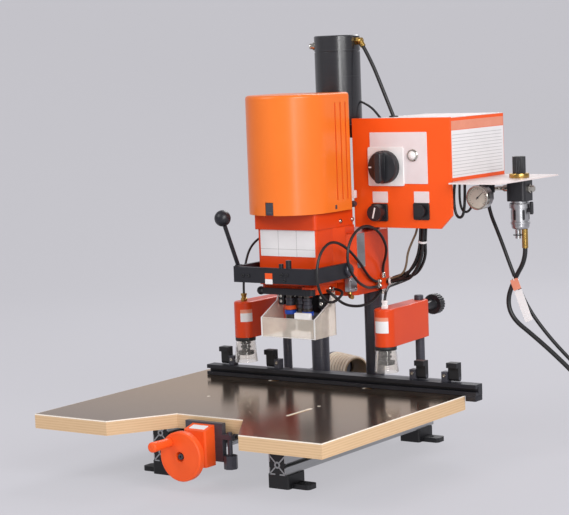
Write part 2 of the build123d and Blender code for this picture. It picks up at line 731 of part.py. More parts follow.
with BuildPart() as push_button:
    with BuildSketch(along_y(247, 124, 518)):
        Circle(13)
    extrude(amount=5)
    with BuildSketch(along_y(247, 128, 518)):
        Circle(8)
    extrude(amount=18)
save(push_button, "push_button")

# Ribbed dust hose pushed over the port's spigot, open towards the front right
with BuildPart() as dust_hose:
    with BuildSketch(Plane(origin=DUST.origin, x_dir=DUST.z_dir, z_dir=DUST.x_dir)):
        points = [(0.4, DUST_BORE), (0.4, DUST_R - 4)]
        for k in range(int(DUST_LENGTH / RIB)):
            x = 0.4 + RIB * k
            points += [(x + 2, DUST_R - 4), (x + 4, DUST_R), (x + 8, DUST_R), (x + 10, DUST_R - 4)]
        Polygon(*points, (DUST_LENGTH, DUST_R - 4), (DUST_LENGTH, DUST_BORE), align=None)
    revolve(axis=Axis(DUST.origin, DUST.z_dir))
save(dust_hose, "dust_hose")

# Hoses: the loom from the box to the carriage, and the loops that ride on the head
supply_loom = tube("supply_loom", [(226, 178, 575.9), (226, 178, 505), (212, 192, 420), (176, 200, 354),
                                   (116.1, 200, 354)], 7.5)
save(supply_loom, "supply_loom")

gear_hose = tube("gear_hose", [(110, 177.9, 359), (110, 148, 359), (113, 92, 414), (113, 42, 450), (113, -10, 467),
                               (113, -52, 448), (113, -70, 408), (113, -62, 364), (113, -30, 338), (112, 4, 337),
                               (112, 40, 358), (72.1, 40, 358)], 3)
loop_hose = tube("loop_hose", [(110, 177.9, 349), (110, 142, 349), (130, 88, 358), (142, 36, 378), (142, 4, 414),
                               (142, 8, 454), (142, 40, 484), (142, 84, 492), (142, 130, 475), (142, 160, 440),
                               (126, 180, 412), (110, 192, 392), (110, 192, 366.1)], 3)
with BuildPart() as head_hoses:
    add(gear_hose.part)
    add(loop_hose.part)
save(head_hoses, "head_hoses")

# Power cord: hangs from the gland to the bench, then a flat coil and the plug
CORD_R = 4.0
power_cord = tube("power_cord", [(303, 318, 551.9), (303, 318, 512), (340, 302, 450), (372, 298, 372), (404, 298, 300),
                                 (455, 299, 237), (520, 300, 176), (588, 300, 110), (650, 300, 42),
                                 (704, 300, CORD_R), (756, 300, CORD_R)], CORD_R)
save(power_cord, "power_cord")

COIL_R, COIL_PITCH, HALF_TURNS = 78.0, 9.4, 7
with BuildPart() as power_coil:
    with BuildLine() as coil:
        y, heading = 300.0, 1
        for k in range(HALF_TURNS):
            r = COIL_R - k * COIL_PITCH / 2
            ThreePointArc((756, y, CORD_R), (756 + heading * r, y + heading * r, CORD_R),
                          (756, y + heading * 2 * r, CORD_R))
            y, heading = y + heading * 2 * r, -heading
        ThreePointArc((756, y, CORD_R), (756 - 30 * math.sin(math.pi / 4), y - 30 + 30 * math.cos(math.pi / 4), CORD_R),
                      (726, y - 30, CORD_R))
    with BuildSketch(Plane(origin=(756, 300, CORD_R), z_dir=(1, 0, 0))):
        Circle(CORD_R)
    sweep(path=coil.wire())
print(f"power_coil: gap {COIL_PITCH - 2 * CORD_R:.2f} mm, length {coil.wire().length:.0f} mm, end y {y:.1f}")
save(power_coil, "power_coil")

with BuildPart() as power_plug:
    with BuildSketch(Plane(origin=(726, y - 30, 14), z_dir=(0, -1, 0))):
        with Locations((0, 0)):
            Circle(10.2)
    extrude(amount=8)
    with BuildSketch(Plane(origin=(726, y - 38, 14), z_dir=(0, -1, 0))):
        Circle(14)
    extrude(amount=22)
    with BuildSketch(Plane(origin=(726, y - 60, 14), z_dir=(0, -1, 0))):
        with Locations((-9.5, 0), (9.5, 0)):
            Circle(2.4)
    extrude(amount=15)
save(power_plug, "power_plug")

# Air hose: from the bowl's outlet down beside the cord to the bench, with its coupling
HOSE_R = 5.0
air_hose = tube("air_hose", [(415, 275, 429.9), (415, 275, 405), (382, 286, 362), (363, 285, 316), (375, 285, 276),
                             (422, 284, 244), (476, 282, 204), (535, 278, 156), (596, 272, 100), (648, 262, 46),
                             (698, 250, HOSE_R), (742, 238, HOSE_R)], HOSE_R)
save(air_hose, "air_hose")

with BuildPart() as air_coupling:
    with BuildSketch(Plane(origin=(742, 238, 9), z_dir=(44, -12, 0))):
        Circle(9)
    extrude(amount=26)
    with BuildSketch(Plane(origin=(742, 238, 9), z_dir=(44, -12, 0))):
        Circle(5)
    extrude(amount=44)
save(air_coupling, "air_coupling")
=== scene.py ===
import math

import bmesh
import bpy
from mathutils import Matrix, Vector


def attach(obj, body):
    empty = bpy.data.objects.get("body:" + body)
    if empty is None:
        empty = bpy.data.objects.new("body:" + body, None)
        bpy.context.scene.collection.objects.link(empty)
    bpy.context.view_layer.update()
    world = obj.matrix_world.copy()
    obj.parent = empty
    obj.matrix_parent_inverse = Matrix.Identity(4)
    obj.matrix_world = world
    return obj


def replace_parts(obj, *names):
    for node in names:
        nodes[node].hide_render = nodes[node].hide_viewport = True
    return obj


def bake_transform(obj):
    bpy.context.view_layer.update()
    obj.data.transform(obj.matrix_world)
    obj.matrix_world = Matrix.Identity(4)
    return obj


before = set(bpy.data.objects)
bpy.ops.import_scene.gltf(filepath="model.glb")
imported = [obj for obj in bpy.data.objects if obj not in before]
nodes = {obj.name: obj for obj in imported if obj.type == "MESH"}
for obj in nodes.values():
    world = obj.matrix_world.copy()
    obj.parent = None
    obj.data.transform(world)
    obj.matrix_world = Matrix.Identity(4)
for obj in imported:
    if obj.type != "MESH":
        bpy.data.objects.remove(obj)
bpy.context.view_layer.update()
bpy.context.scene.view_settings.view_transform = "Standard"


# Base rails: two lengths of 40 by 80 mm T-slot profile in aluminium, extruded and clear anodised.
# The die leaves faint lines along each length. They lie on the feet and carry everything else.
def linear(code):
    """An sRGB hex colour as linear RGBA"""
    rgb = [int(code[i:i + 2], 16) / 255 for i in (1, 3, 5)]
    return [c / 12.92 if c <= 0.04045 else ((c + 0.055) / 1.055) ** 2.4 for c in rgb] + [1.0]


def node(tree, kind, inputs=(), **settings):
    """Adds one node, applies its settings, and fills or links its inputs"""
    made = tree.nodes.new("ShaderNode" + kind)
    for key, value in settings.items():
        setattr(made, key, value)
    for key, value in dict(inputs).items():
        if isinstance(value, bpy.types.NodeSocket):
            tree.links.new(value, made.inputs[key])
        else:
            made.inputs[key].default_value = value
    return made


def finish(name):
    """Starts a material: itself, its empty tree, and the place on the machine in metres"""
    mat = bpy.data.materials.new(name)
    mat.use_nodes = True
    mat.node_tree.nodes.clear()
    return mat, mat.node_tree, node(mat.node_tree, "TexCoord").outputs["Object"]


def coat(name, first, second, patch, detail, rough, optics=(), edge=0.0, relief=()):
    """A finish that one noise carries: its patches, sized in mm, set the tone and any range of roughness.
    Edge is the radius in mm that softens corners. Relief is a bump's strength and its depth in mm, which the
    size and detail of a finer grain can follow."""
    mat, tree, place = finish(name)
    drawn, cells = place, 1.0
    if isinstance(patch, tuple):
        drawn = node(tree, "Mapping", {"Vector": place, "Scale": [1000 / side for side in patch]}).outputs[0]
    else:
        cells = 1000 / patch
    cloud = node(tree, "TexNoise", {"Vector": drawn, "Scale": cells, "Detail": detail}).outputs["Fac"]
    tone = node(tree, "Mix", {0: cloud, 6: linear(first), 7: linear(second)}, data_type="RGBA").outputs[2]
    look = {"Base Color": tone, "Roughness": rough, **dict(optics)}
    if isinstance(rough, tuple):
        span = {"Value": cloud, "To Min": rough[0], "To Max": rough[1]}
        look["Roughness"] = node(tree, "MapRange", span).outputs[0]
    if edge:
        look["Normal"] = node(tree, "Bevel", {"Radius": edge / 1000}, samples=4).outputs[0]
    if relief:
        strength, depth, *grain = relief
        height = cloud
        if grain:
            fine = {"Vector": place, "Scale": 1000 / grain[0], "Detail": grain[1]}
            height = node(tree, "TexNoise", fine).outputs["Fac"]
        bump = {"Height": height, "Strength": strength, "Distance": depth / 1000}
        if edge:
            bump["Normal"] = look["Normal"]
        look["Normal"] = node(tree, "Bump", bump).outputs[0]
    skin = node(tree, "BsdfPrincipled", look)
    node(tree, "OutputMaterial", {"Surface": skin.outputs[0]})
    return mat


def dress(mat, *names):
    """Gives CAD nodes their finish through the slots of their objects"""
    for name in names:
        for held in nodes[name].material_slots:
            held.link = "OBJECT"
            held.material = mat


# Anodised aluminium: soft metal grey, duller across the 0.7 mm draw lines, which are drawn wider to show
anodised = coat("clear_anodised_aluminium", "#9A9B9C", "#C4C5C6", patch=(1.111, 111.1, 1.111), detail=3,
                rough=(0.28, 0.46), optics={"Metallic": 1.0}, relief=(0.08, 0.4))
dress(anodised, "base_rails")

# Rail feet: four blocks under the rail ends, each with an ear for a bench bolt.
# Glass-filled nylon, moulded black, so the skin is even and slightly grainy.
moulded = coat("moulded_black_nylon", "#0F0F12", "#1B1B1F", patch=28.57, detail=4, rough=(0.38, 0.58),
               optics={"IOR": 1.5}, edge=0.8, relief=(0.12, 0.3, 1.111, 2))
dress(moulded, "rail_feet")


# Rail ends: sawn square, so the profile's thin walls, struts and core show bright round its dark hollows.
# The hollows are painted shade, a black sheet over each end, and the walls are 2.6 mm thick and stand 0.4 mm
# proud of it.
def shape(name, form, mat):
    """Turns a bmesh in millimetres into a piece, smooth between its sharp edges"""
    bmesh.ops.remove_doubles(form, verts=form.verts, dist=1e-4)
    bmesh.ops.recalc_face_normals(form, faces=form.faces)
    for e in form.edges:
        e.smooth = len(e.link_faces) == 2 and e.calc_face_angle(3.0) < 0.6
    for f in form.faces:
        f.smooth = len(f.verts) < 5
    form.transform(Matrix.Scale(0.001, 4))
    mesh = bpy.data.meshes.new(name)
    form.to_mesh(mesh)
    form.free()
    mesh.materials.append(mat)
    made = bpy.data.objects.new(name, mesh)
    bpy.context.scene.collection.objects.link(made)
    return made


def build(name, form, mat, body):
    """A piece that rides on a body"""
    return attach(shape(name, form, mat), body)


def rounded(width, height, radius):
    """The outline of a rectangle with round corners"""
    points = []
    for cx, cy, start in ((1, 1, 0), (-1, 1, 90), (-1, -1, 180), (1, -1, 270)):
        for a in (0, 22.5, 45, 67.5, 90):
            turn = math.radians(start + a)
            points.append((cx * (width / 2 - radius) + radius * math.cos(turn),
                           cy * (height / 2 - radius) + radius * math.sin(turn)))
    return points


def plate(form, outline, thick, at, right=(1, 0, 0), up=(0, 0, 1), soft=0.0):
    """Adds a flat piece that stands off a face, its front edge softened"""
    axes = Matrix((Vector(right), Vector(up), Vector(right).cross(Vector(up)))).transposed().to_4x4()
    axes.translation = at
    front = [form.verts.new(axes @ Vector((u, v, thick))) for u, v in outline]
    back = [form.verts.new(axes @ Vector((u, v, 0))) for u, v in outline]
    face = form.faces.new(front)
    form.faces.new(back[::-1])
    for i in range(len(front)):
        j = (i + 1) % len(front)
        form.faces.new((back[i], back[j], front[j], front[i]))
    if soft:
        bmesh.ops.bevel(form, geom=list(face.edges), offset=soft, segments=3, profile=0.5, affect="EDGES")


def lathe(form, profile, at, axis, steps=36):
    """Adds a turned piece from pairs of radius and distance along its axis, a ring if the profile closes"""
    spin = Vector((0, 0, 1)).rotation_difference(Vector(axis)).to_matrix().to_4x4()
    spin.translation = at
    rings = []
    for r, h in profile:
        turns = [2 * math.pi * i / steps for i in range(steps)] if r else [0]
        rings.append([form.verts.new(spin @ Vector((r * math.cos(t), r * math.sin(t), h))) for t in turns])
    for a, b in zip(rings, rings[1:]):
        for i in range(steps):
            j = (i + 1) % steps
            corners = (a[i % len(a)], a[j % len(a)], b[j % len(b)], b[i % len(b)])
            form.faces.new(list(dict.fromkeys(corners)))
    for end in (rings[0], rings[-1]):
        if len(end) > 1 and profile[0] != profile[-1]:
            form.faces.new(end)


CELLS, SIDES = (48, 88), ((28.4, 42.6), (53, 83), (93.4, 107.6))
CORE = [(3.6, 0), (7, 0), (7, 0.4), (3.6, 0.4), (3.6, 0)]
form, hollow_shade = bmesh.new(), bmesh.new()
for x in (-147, 147):
    for y, s in ((-280.05, 1), (290.05, -1)):
        # Painted shade: one black sheet over the whole end stands for the shade in the profile's open hollows
        plate(hollow_shade, rounded(39.4, 79.4, 1), 0.3, (x, y, 68), (s, 0, 0))
        walls = []
        for k in (-1, 1):
            walls += [((k * 18.8, low), (k * 18.8, high)) for low, high in SIDES]
            walls += [((k * 5.4, z), (k * 19.8, z)) for z in (29.2, 106.8)]
            walls += [((k * 4, z + h * 4), (k * 17.6, z + h * 17.6)) for z in CELLS for h in (-1, 1)]
        for (x0, z0), (x1, z1) in walls:
            run = Vector((x1 - x0, 0, z1 - z0))
            side = run.normalized()
            middle = (x + s * (x0 + x1) / 2, y - s * 0.3, (z0 + z1) / 2)
            plate(form, rounded(run.length, 2.6, 0.6), 0.4, middle, (s * side.x, 0, side.z),
                  (-s * side.z, 0, side.x))
        for z in CELLS:
            lathe(form, CORE, (x, y - s * 0.3, z), (0, -s, 0), 28)
build("rail_end_painted_shade", hollow_shade, moulded, "base")
build("rail_end_walls", form, anodised, "base")

# Rear plate, guide columns, clamp posts and yoke: the steel frame that stands on the rails behind the table.
# Blackened and oiled after machining: near black with a low sheen, its edges softened so they catch the
# light.
blackened = coat("oiled_black_oxide_steel", "#3B3B42", "#4E4E57", patch=(33.33, 33.33, 2), detail=3,
                 rough=(0.24, 0.42), optics={"Metallic": 0.25}, edge=0.8, relief=(0.05, 0.3))
dress(blackened, "base_plate", "guide_columns", "clamp_posts", "column_yoke")

# Worktable: 30 mm birch ply with a dark phenolic film pressed on both faces, bolted down on the rails.
# It is sawn, so its edges show pale plies, chipped at the arris, and its rear right corner is cut off.
# Film-faced ply: wood in thin bands, drawn thicker to show, a painted highlight along the top of each sawn
# edge, and a brown-black film, glossy and slightly rippled, which mirrors most at a low angle and towards the
# rear
PLY, FIBRE, MOTTLE, CHIP, RIPPLE = 5.2, (25, 25, 2.381), 71.43, 3.846, 3.125
PAINTED_HIGHLIGHT_Z, ARRIS_X, ARRIS_Y = 0.1358, 0.3548, -0.4268
filmed, tree, place = finish("film_faced_birch_ply")
spot = node(tree, "SeparateXYZ", {"Vector": place}).outputs
facing = node(tree, "SeparateXYZ", {"Vector": node(tree, "NewGeometry").outputs["Normal"]}).outputs["Z"]
facing = node(tree, "Math", {0: facing}, operation="ABSOLUTE").outputs[0]
flat = node(tree, "Math", {0: facing, 1: 0.7}, operation="GREATER_THAN").outputs[0]
plies = node(tree, "Math", {0: spot["Z"], 1: 2000 * math.pi / PLY}, operation="MULTIPLY").outputs[0]
plies = node(tree, "Math", {0: plies}, operation="SINE").outputs[0]
span = {"From Min": -0.4, "From Max": 0.5, "To Min": 0.0, "To Max": 0.55}
band = node(tree, "MapRange", {"Value": plies, **span}).outputs[0]
along = node(tree, "Mapping", {"Vector": place, "Scale": [1000 / side for side in FIBRE]}).outputs[0]
fibre = node(tree, "TexNoise", {"Vector": along, "Scale": 1.0, "Detail": 4.0}).outputs["Fac"]
layer = node(tree, "Math", {0: band, 1: fibre}, operation="MULTIPLY").outputs[0]
wood = node(tree, "Mix", {0: layer, 6: linear("#D6B48A"), 7: linear("#B0875A")}, data_type="RGBA").outputs[2]
# Painted highlight: the top 2 mm of each sawn edge is near white, where the edge catches the light
painted_highlight = node(tree, "Math", {0: spot["Z"], 1: PAINTED_HIGHLIGHT_Z}, operation="GREATER_THAN").outputs[0]
wood = node(tree, "Mix", {0: painted_highlight, 6: wood, 7: linear("#F7ECDE")}, data_type="RGBA").outputs[2]
mottle = node(tree, "TexNoise", {"Vector": place, "Scale": 1000 / MOTTLE, "Detail": 5.0}).outputs["Fac"]
film = node(tree, "Mix", {0: mottle, 6: linear("#241C18"), 7: linear("#382C25")}, data_type="RGBA").outputs[2]
ends = node(tree, "Math", {0: spot["X"]}, operation="ABSOLUTE").outputs[0]
ends = node(tree, "Math", {0: ends, 1: ARRIS_X}, operation="GREATER_THAN").outputs[0]
front = node(tree, "Math", {0: spot["Y"], 1: ARRIS_Y}, operation="LESS_THAN").outputs[0]
rim = node(tree, "Math", {0: ends, 1: front}, operation="MAXIMUM").outputs[0]
chips = node(tree, "TexNoise", {"Vector": place, "Scale": 1000 / CHIP, "Detail": 2.0}).outputs["Fac"]
torn = node(tree, "Math", {0: chips, 1: 0.44}, operation="GREATER_THAN").outputs[0]
chipped = node(tree, "Math", {0: rim, 1: torn}, operation="MULTIPLY").outputs[0]
film = node(tree, "Mix", {0: chipped, 6: film, 7: linear("#EADBC4")}, data_type="RGBA").outputs[2]
tone = node(tree, "Mix", {0: flat, 6: wood, 7: film}, data_type="RGBA").outputs[2]
sheen = node(tree, "MapRange", {"Value": mottle, "To Min": 0.14, "To Max": 0.22}).outputs[0]
rough = node(tree, "Mix", {0: flat, 2: 0.62, 3: sheen}, data_type="FLOAT").outputs[0]
ripple = node(tree, "TexNoise", {"Vector": place, "Scale": 1000 / RIPPLE, "Detail": 1.0}).outputs["Fac"]
bump = node(tree, "Bump", {"Height": ripple, "Strength": 0.03, "Distance": 0.0003}).outputs[0]
skin = node(tree, "BsdfPrincipled", {"Base Color": tone, "Roughness": rough, "IOR": 1.7, "Normal": bump})
gloss = node(tree, "BsdfAnisotropic", {"Color": linear("#ECD4B8"), "Roughness": 0.15, "Normal": bump})
span = {"From Min": -0.42, "From Max": -0.05, "To Min": 0.9, "To Max": 1.55}
polish = node(tree, "MapRange", {"Value": spot["Y"], **span}).outputs[0]
glance = node(tree, "Fresnel", {"IOR": 1.6}).outputs[0]
glance = node(tree, "Math", {0: glance, 1: polish}, operation="MULTIPLY").outputs[0]
share = node(tree, "Math", {0: flat, 1: glance}, operation="MULTIPLY").outputs[0]
whole = node(tree, "MixShader", {0: share, 1: skin.outputs[0], 2: gloss.outputs[0]})
node(tree, "OutputMaterial", {"Surface": whole.outputs[0]})
form = bmesh.new()
form.from_mesh(nodes["worktable"].data)
form.transform(Matrix.Scale(1000, 4))
bmesh.ops.remove_doubles(form, verts=form.verts, dist=1e-3)
CORNER, CORNER_CUT = (357, 104, 0), (60, 37, 0)
bmesh.ops.bisect_plane(form, geom=form.verts[:] + form.edges[:] + form.faces[:], plane_co=CORNER,
                       plane_no=CORNER_CUT, clear_outer=True)
bmesh.ops.holes_fill(form, edges=[e for e in form.edges if e.is_boundary])
board = build("table_board", form, filmed, "base")
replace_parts(board, "worktable")


# Lead screw: steel bar with a 4 mm trapezoidal thread rolled on it, from the crank bracket to the fence's
# nut. It is ground, bare and lightly oiled, with fine rings from the wheel round it.
def tube(form, rows):
    """Joins rows of four points into a closed bar"""
    for a, b in zip(rows, rows[1:]):
        for i in range(4):
            form.faces.new((a[i], a[(i + 1) % 4], b[(i + 1) % 4], b[i]))
    form.faces.new(rows[0])
    form.faces.new(rows[-1][::-1])


# Ground steel: bright grey metal, its fine rings breaking up the highlight
ground = coat("ground_steel", "#8C8D90", "#B4B5B8", patch=(16.67, 16.67, 0.7143), detail=2,
              rough=(0.18, 0.34), optics={"Metallic": 1.0}, relief=(0.06, 0.2))
dress(ground, "lead_screw", "spindle_bearings", "piston_rod")
CRANK_Z = 75
LEAD, TURNS, STEPS = 4, 96, 16
form = bmesh.new()
rows = []
for i in range(TURNS * STEPS + 1):
    t = 2 * math.pi * i / STEPS
    rows.append([form.verts.new((r * math.cos(t), -305 + LEAD * i / STEPS + dy, CRANK_Z + r * math.sin(t)))
                 for r, dy in ((7.8, -1.5), (8.9, -0.6), (8.9, 0.6), (7.8, 1.5))])
tube(form, rows)
build("screw_thread", form, ground, "crank")


# Crank: housing, hand wheel and spinning handle, moulded in orange nylon, on a blackened bracket under the
# table. The wheel's face is flush, its hub bolt sits deep in a recess, and a bare plate lies on the
# housing's sloping top.
def slab(name, size, thick, at, mat, body, right=(1, 0, 0), up=(0, 0, 1), soft=0.0):
    """A piece that is one plate with round corners"""
    form = bmesh.new()
    plate(form, rounded(*size), thick, at, right, up, soft)
    return build(name, form, mat, body)


def turned(name, profile, at, axis, steps, mat, body):
    """A piece that is one turned form"""
    form = bmesh.new()
    lathe(form, profile, at, axis, steps)
    return build(name, form, mat, body)


# Orange nylon: the colour is in the plastic, so it is even and a little waxy
nylon = coat("moulded_orange_nylon", "#EE521A", "#F55F24", patch=40, detail=3, rough=(0.4, 0.5),
             optics={"IOR": 1.38, "Subsurface Weight": 0.05}, edge=1.2, relief=(0.06, 0.2, 0.9091, 1))
dress(nylon, "crank_housing", "crank_wheel", "crank_handle")
dress(blackened, "crank_bracket")
turned("wheel_face", [(12, 0), (44.2, 0), (44.2, 2.06), (12, 2.06), (12, 0)], (0, -401, CRANK_Z), (0, -1, 0),
       72, nylon, "crank")
turned("crank_bolt", [(0, 3.2), (2.4, 3.2), (2.6, 6.5), (5.6, 6.5), (6.2, 5.6), (6.2, 0)],
       (0, -394.8, CRANK_Z), (0, -1, 0), 24, blackened, "crank")
# Vinyl: white, smooth, a little glossier than paper
vinyl = coat("bare_white_vinyl", "#DFDCDC", "#EBE8E8", patch=25, detail=3, rough=0.34, optics={"IOR": 1.5})
slab("crank_plate", (38, 17, 2), 0.5, (0, -339, 123.05), vinyl, "base", up=(0, 0.97, 0.2425),
     soft=0.2)

# Fence: a steel bar that the crank's screw draws along by the carriage below it, with a machined block
# under its right end. Four nylon stops flip on brackets along it, and a nickel-plated screw holds each
# bracket.
# Baked lacquer: nearly black, smooth, with a weak even sheen
baked = coat("baked_black_lacquer_on_steel", "#1A1A1F", "#26262C", patch=33.33, detail=4, rough=(0.3, 0.42),
             optics={"IOR": 1.42}, edge=0.8)
dress(baked, "fence")
dress(blackened, "fence_carriage", "stop_brackets")
dress(moulded, "outer_left_stop", "inner_left_stop", "inner_right_stop", "outer_right_stop")
slab("fence_end", (25, 11.4, 1.5), 27.6, (372.3, 127.8, 132.6), baked, "fence", soft=1.0)
# Nickel plate: bright and warm, slightly clouded
nickel = coat("nickel_plated_brass", "#B7B2A8", "#D6D2C9", patch=9.091, detail=3, rough=(0.14, 0.28),
              optics={"Metallic": 1.0})
form = bmesh.new()
for x in (-251.7, -126.2, 225.7, 303.7):
    lathe(form, [(0, 0.6), (1.5, 0.6), (1.6, 2), (3.2, 2), (3.6, 1.4), (3.6, -2)], (x, 111.8, 175),
          (0, -1, 0), 20)
build("stop_screws", form, nickel, "fence")

# Head casting: the carriage on the columns and the gear housing in front of it, cast aluminium with a
# bolted cover. Sprayed in a redder orange enamel over the sand-cast skin, so it is glossy and gently
# uneven.
enamel = coat("red_orange_enamel_on_casting", "#D23C10", "#DE4814", patch=83.33, detail=4, rough=(0.24, 0.36),
              optics={"IOR": 1.36}, edge=2, relief=(0.1, 0.5, 4.167, 3))
dress(enamel, "head_casting", "gear_cover")

# Housing sign, bare: printed white vinyl, stuck on the front of the gear housing.
# It is ruled into three columns and two rows.
slab("housing_sign", (140, 57, 1.5), 0.6, (4.5, -14, 459), vinyl, "head", soft=0.2)
# Ruled line: thin grey print, a little uneven
ruled = coat("grey_ruled_line", "#AAA6A6", "#BFBBBB", patch=2.5, detail=2, rough=0.4)
form = bmesh.new()
for x in (-19, 28):
    plate(form, rounded(0.9, 56, 0.3), 0.2, (x, -14.6, 459))
plate(form, rounded(139, 0.9, 0.3), 0.2, (4.5, -14.6, 446))
build("sign_rules", form, ruled, "head")

# Carriage plate: a bare plate on the carriage's right side.
# Anodised aluminium sheet, held by a small rivet at each corner.
form = bmesh.new()
plate(form, rounded(30, 74, 1.5), 0.8, (104, 116, 433), (0, 1, 0), soft=0.25)
for dy in (-12, 12):
    for dz in (-34, 34):
        lathe(form, [(1.8, 0), (1.7, 0.8), (1, 1.4), (0, 1.5)], (104.7, 116 + dy, 433 + dz), (1, 0, 0), 12)
build("carriage_plate", form, anodised, "head")


# Valve block: a small block in the air line, with four cap screws at the carriage's front corner.
# Die-cast zinc, with a turned brass elbow under it.
def spline(name, points, radius, mat):
    """A round hose or cord on one smooth spline through a route given in millimetres"""
    curve = bpy.data.curves.new(name, "CURVE")
    curve.dimensions = "3D"
    curve.bevel_depth = radius / 1000
    curve.bevel_resolution = 4
    curve.use_fill_caps = True
    line = curve.splines.new("NURBS")
    line.points.add(len(points) - 1)
    for held, p in zip(line.points, points):
        held.co = (p[0] / 1000, p[1] / 1000, p[2] / 1000, 1)
    line.order_u = 3
    line.use_endpoint_u = True
    line.resolution_u = 8
    curve.materials.append(mat)
    made = bpy.data.objects.new(name, curve)
    bpy.context.scene.collection.objects.link(made)
    return made


def hose(name, points, radius, mat, body):
    """A hose that rides on a body"""
    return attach(spline(name, points, radius, mat), body)


# Die-cast zinc: tumbled to a satin silver
diecast = coat("tumbled_die_cast_zinc", "#A9A9AB", "#CBCBCD", patch=14.29, detail=4, rough=(0.26, 0.4),
               optics={"Metallic": 1.0})
form = bmesh.new()
plate(form, rounded(28, 31, 2), 13, (92, 82, 363.5), (0, 1, 0), soft=1.0)
for dy, dz in ((-9, 10), (9, 10), (-9, -10), (9, -10)):
    lathe(form, [(0, 0.6), (1.4, 0.6), (1.5, 1.8), (2.8, 1.8), (3, 1.4), (3, 0)],
          (104.9, 82 + dy, 363.5 + dz), (1, 0, 0), 14)
build("valve_block", form, diecast, "head")
# Brass: turned bar, left bare and a little dull
brass = coat("turned_brass", "#A5813F", "#C9A864", patch=11.11, detail=3, rough=(0.2, 0.36),
             optics={"Metallic": 1.0})
hose("valve_elbow", [(99, 76, 350), (99, 75, 342), (102, 72, 338), (110, 68, 338)], 4.6, brass, "head")

# Spindles: three geared shafts with their chucks, hardened tool steel, left dark from the quench and wiped
# with oil. Bright rings retain the bearings under the gear cover, a dark collar sits over each chuck, and a
# lacquered lever shifts the gears.
# Tool steel: dark grey metal, streaked brown and green in places
tool = coat("oiled_tool_steel", "#3A3A3C", "#6E675E", patch=11.11, detail=5, rough=(0.2, 0.44),
            optics={"Metallic": 0.85})
dress(tool, "cup_spindle", "left_dowel_spindle", "right_dowel_spindle")
dress(baked, "gear_lever")
AXES = {"cup": (0, 36), "left_dowel": (-22.5, 26.5), "right_dowel": (22.5, 26.5)}
form = bmesh.new()
for x, y in AXES.values():
    lathe(form, [(9.4, 0), (11.4, 0), (11.8, 0.5), (11.8, 4.4), (9.4, 4.4)], (x, y, 345.6), (0, 0, 1), 32)
build("bearing_rings", form, nickel, "head")
COLLAR = [(7.8, 0), (10.4, 0.5), (10.4, 7), (9.2, 8), (9.2, 16), (10.2, 17), (10.2, 22), (7.8, 22.5)]
for name, (x, y) in AXES.items():
    turned(name + "_collar", COLLAR, (x, y, 315), (0, 0, 1), 32, blackened, name + "_spindle")

# Chuck sleeves: rings pushed on the chucks, which tell left-hand from right-hand bits by colour.
# They are moulded in orange and blue nylon.
# Blue nylon: strong even blue, semi-gloss
blue = coat("moulded_blue_nylon", "#1440A8", "#1E52C4", patch=5, detail=2, rough=0.36, optics={"IOR": 1.52})
for name, mat, axis, slot, low in (("left_sleeve", nylon, "left_dowel", "orange_plastic", 312),
                                   ("left_band", blue, "left_dowel", "black_plastic", 302),
                                   ("right_band", blue, "right_dowel", "black_plastic", 300),
                                   ("cup_sleeve", nylon, "cup", "orange_plastic", 292)):
    turned(name, [(10.2, 0), (12.6, 0.4), (12.6, 8.6), (10.2, 9)], (*AXES[axis], low), (0, 0, 1), 32, mat,
           axis + "_spindle")

# Spindle shield: a plate behind the chucks that keeps chips off the gears.
# Moulded in black nylon, with an ear at each end, and held by nickel-plated screws.
form = bmesh.new()
plate(form, rounded(104, 44, 4), 5, (0, 61, 324), soft=1.0)
plate(form, rounded(15, 26, 3), 26, (-52, 61, 332), soft=1.0)
plate(form, rounded(15, 30, 3), 26, (52, 61, 330), soft=1.0)
build("spindle_shield", form, moulded, "head")
form = bmesh.new()
for x, y, z, r in ((-52, 35, 338, 3.4), (-52, 35, 327, 3.4), (52, 35, 339, 3.4), (52, 35, 325, 4.4),
                   (-40, 56, 310, 3), (40, 56, 310, 3), (-30, 56, 338, 3)):
    lathe(form, [(r * 0.5, 0.4), (r * 0.55, 1.6), (r * 0.9, 1.6), (r, 1.2), (r, -1), (r * 0.5, -1)],
          (x, y, z), (0, -1, 0), 18)
build("shield_screws", form, nickel, "head")

# Chip guard: polycarbonate sheet, bent and screwed under the gear cover. Its sawn edges show as white
# lines, and a white moulded stop sits inside its front.
# Scratched polycarbonate: clear, made milky by dust and fine scratches
SCRATCHES = 35.71
milky, tree, place = finish("scratched_polycarbonate")
scuff = node(tree, "TexNoise", {"Vector": place, "Scale": 1000 / SCRATCHES, "Detail": 6.0}).outputs["Fac"]
span = {"From Min": 0.3, "From Max": 0.7, "To Min": 0.72, "To Max": 0.62}
passing = node(tree, "MapRange", {"Value": scuff, **span}).outputs[0]
skin = node(tree, "BsdfPrincipled", {"Base Color": linear("#FFF6EA"), "Roughness": 0.04, "IOR": 1.12,
                                     "Transmission Weight": passing})
node(tree, "OutputMaterial", {"Surface": skin.outputs[0]})
dress(milky, "spindle_guard")
# White ABS: clean and semi-gloss
white = coat("moulded_white_abs", "#DEDAD8", "#ECE9E7", patch=20, detail=3, rough=0.3, optics={"IOR": 1.52})
form = bmesh.new()
for x in (-68.5, 68.5):
    for (y0, z0), (y1, z1) in (((-18, 298), (42, 328)), ((42, 328), (50, 350)), ((-18, 256), (-18, 298))):
        run = Vector((0, y1 - y0, z1 - z0))
        plate(form, rounded(run.length, 3.2, 0.4), 0.25, (x, (y0 + y1) / 2, (z0 + z1) / 2), run.normalized(),
              (-1, 0, 0))
plate(form, rounded(134, 3.2, 0.4), 0.25, (0, -16.5, 298), up=(0, 1, 0))
plate(form, rounded(134, 1.4, 0.4), 0.25, (0, -18, 257))
plate(form, rounded(40, 15, 2), 8, (34, -6, 303), soft=1.5)
build("guard_edges", form, white, "head")
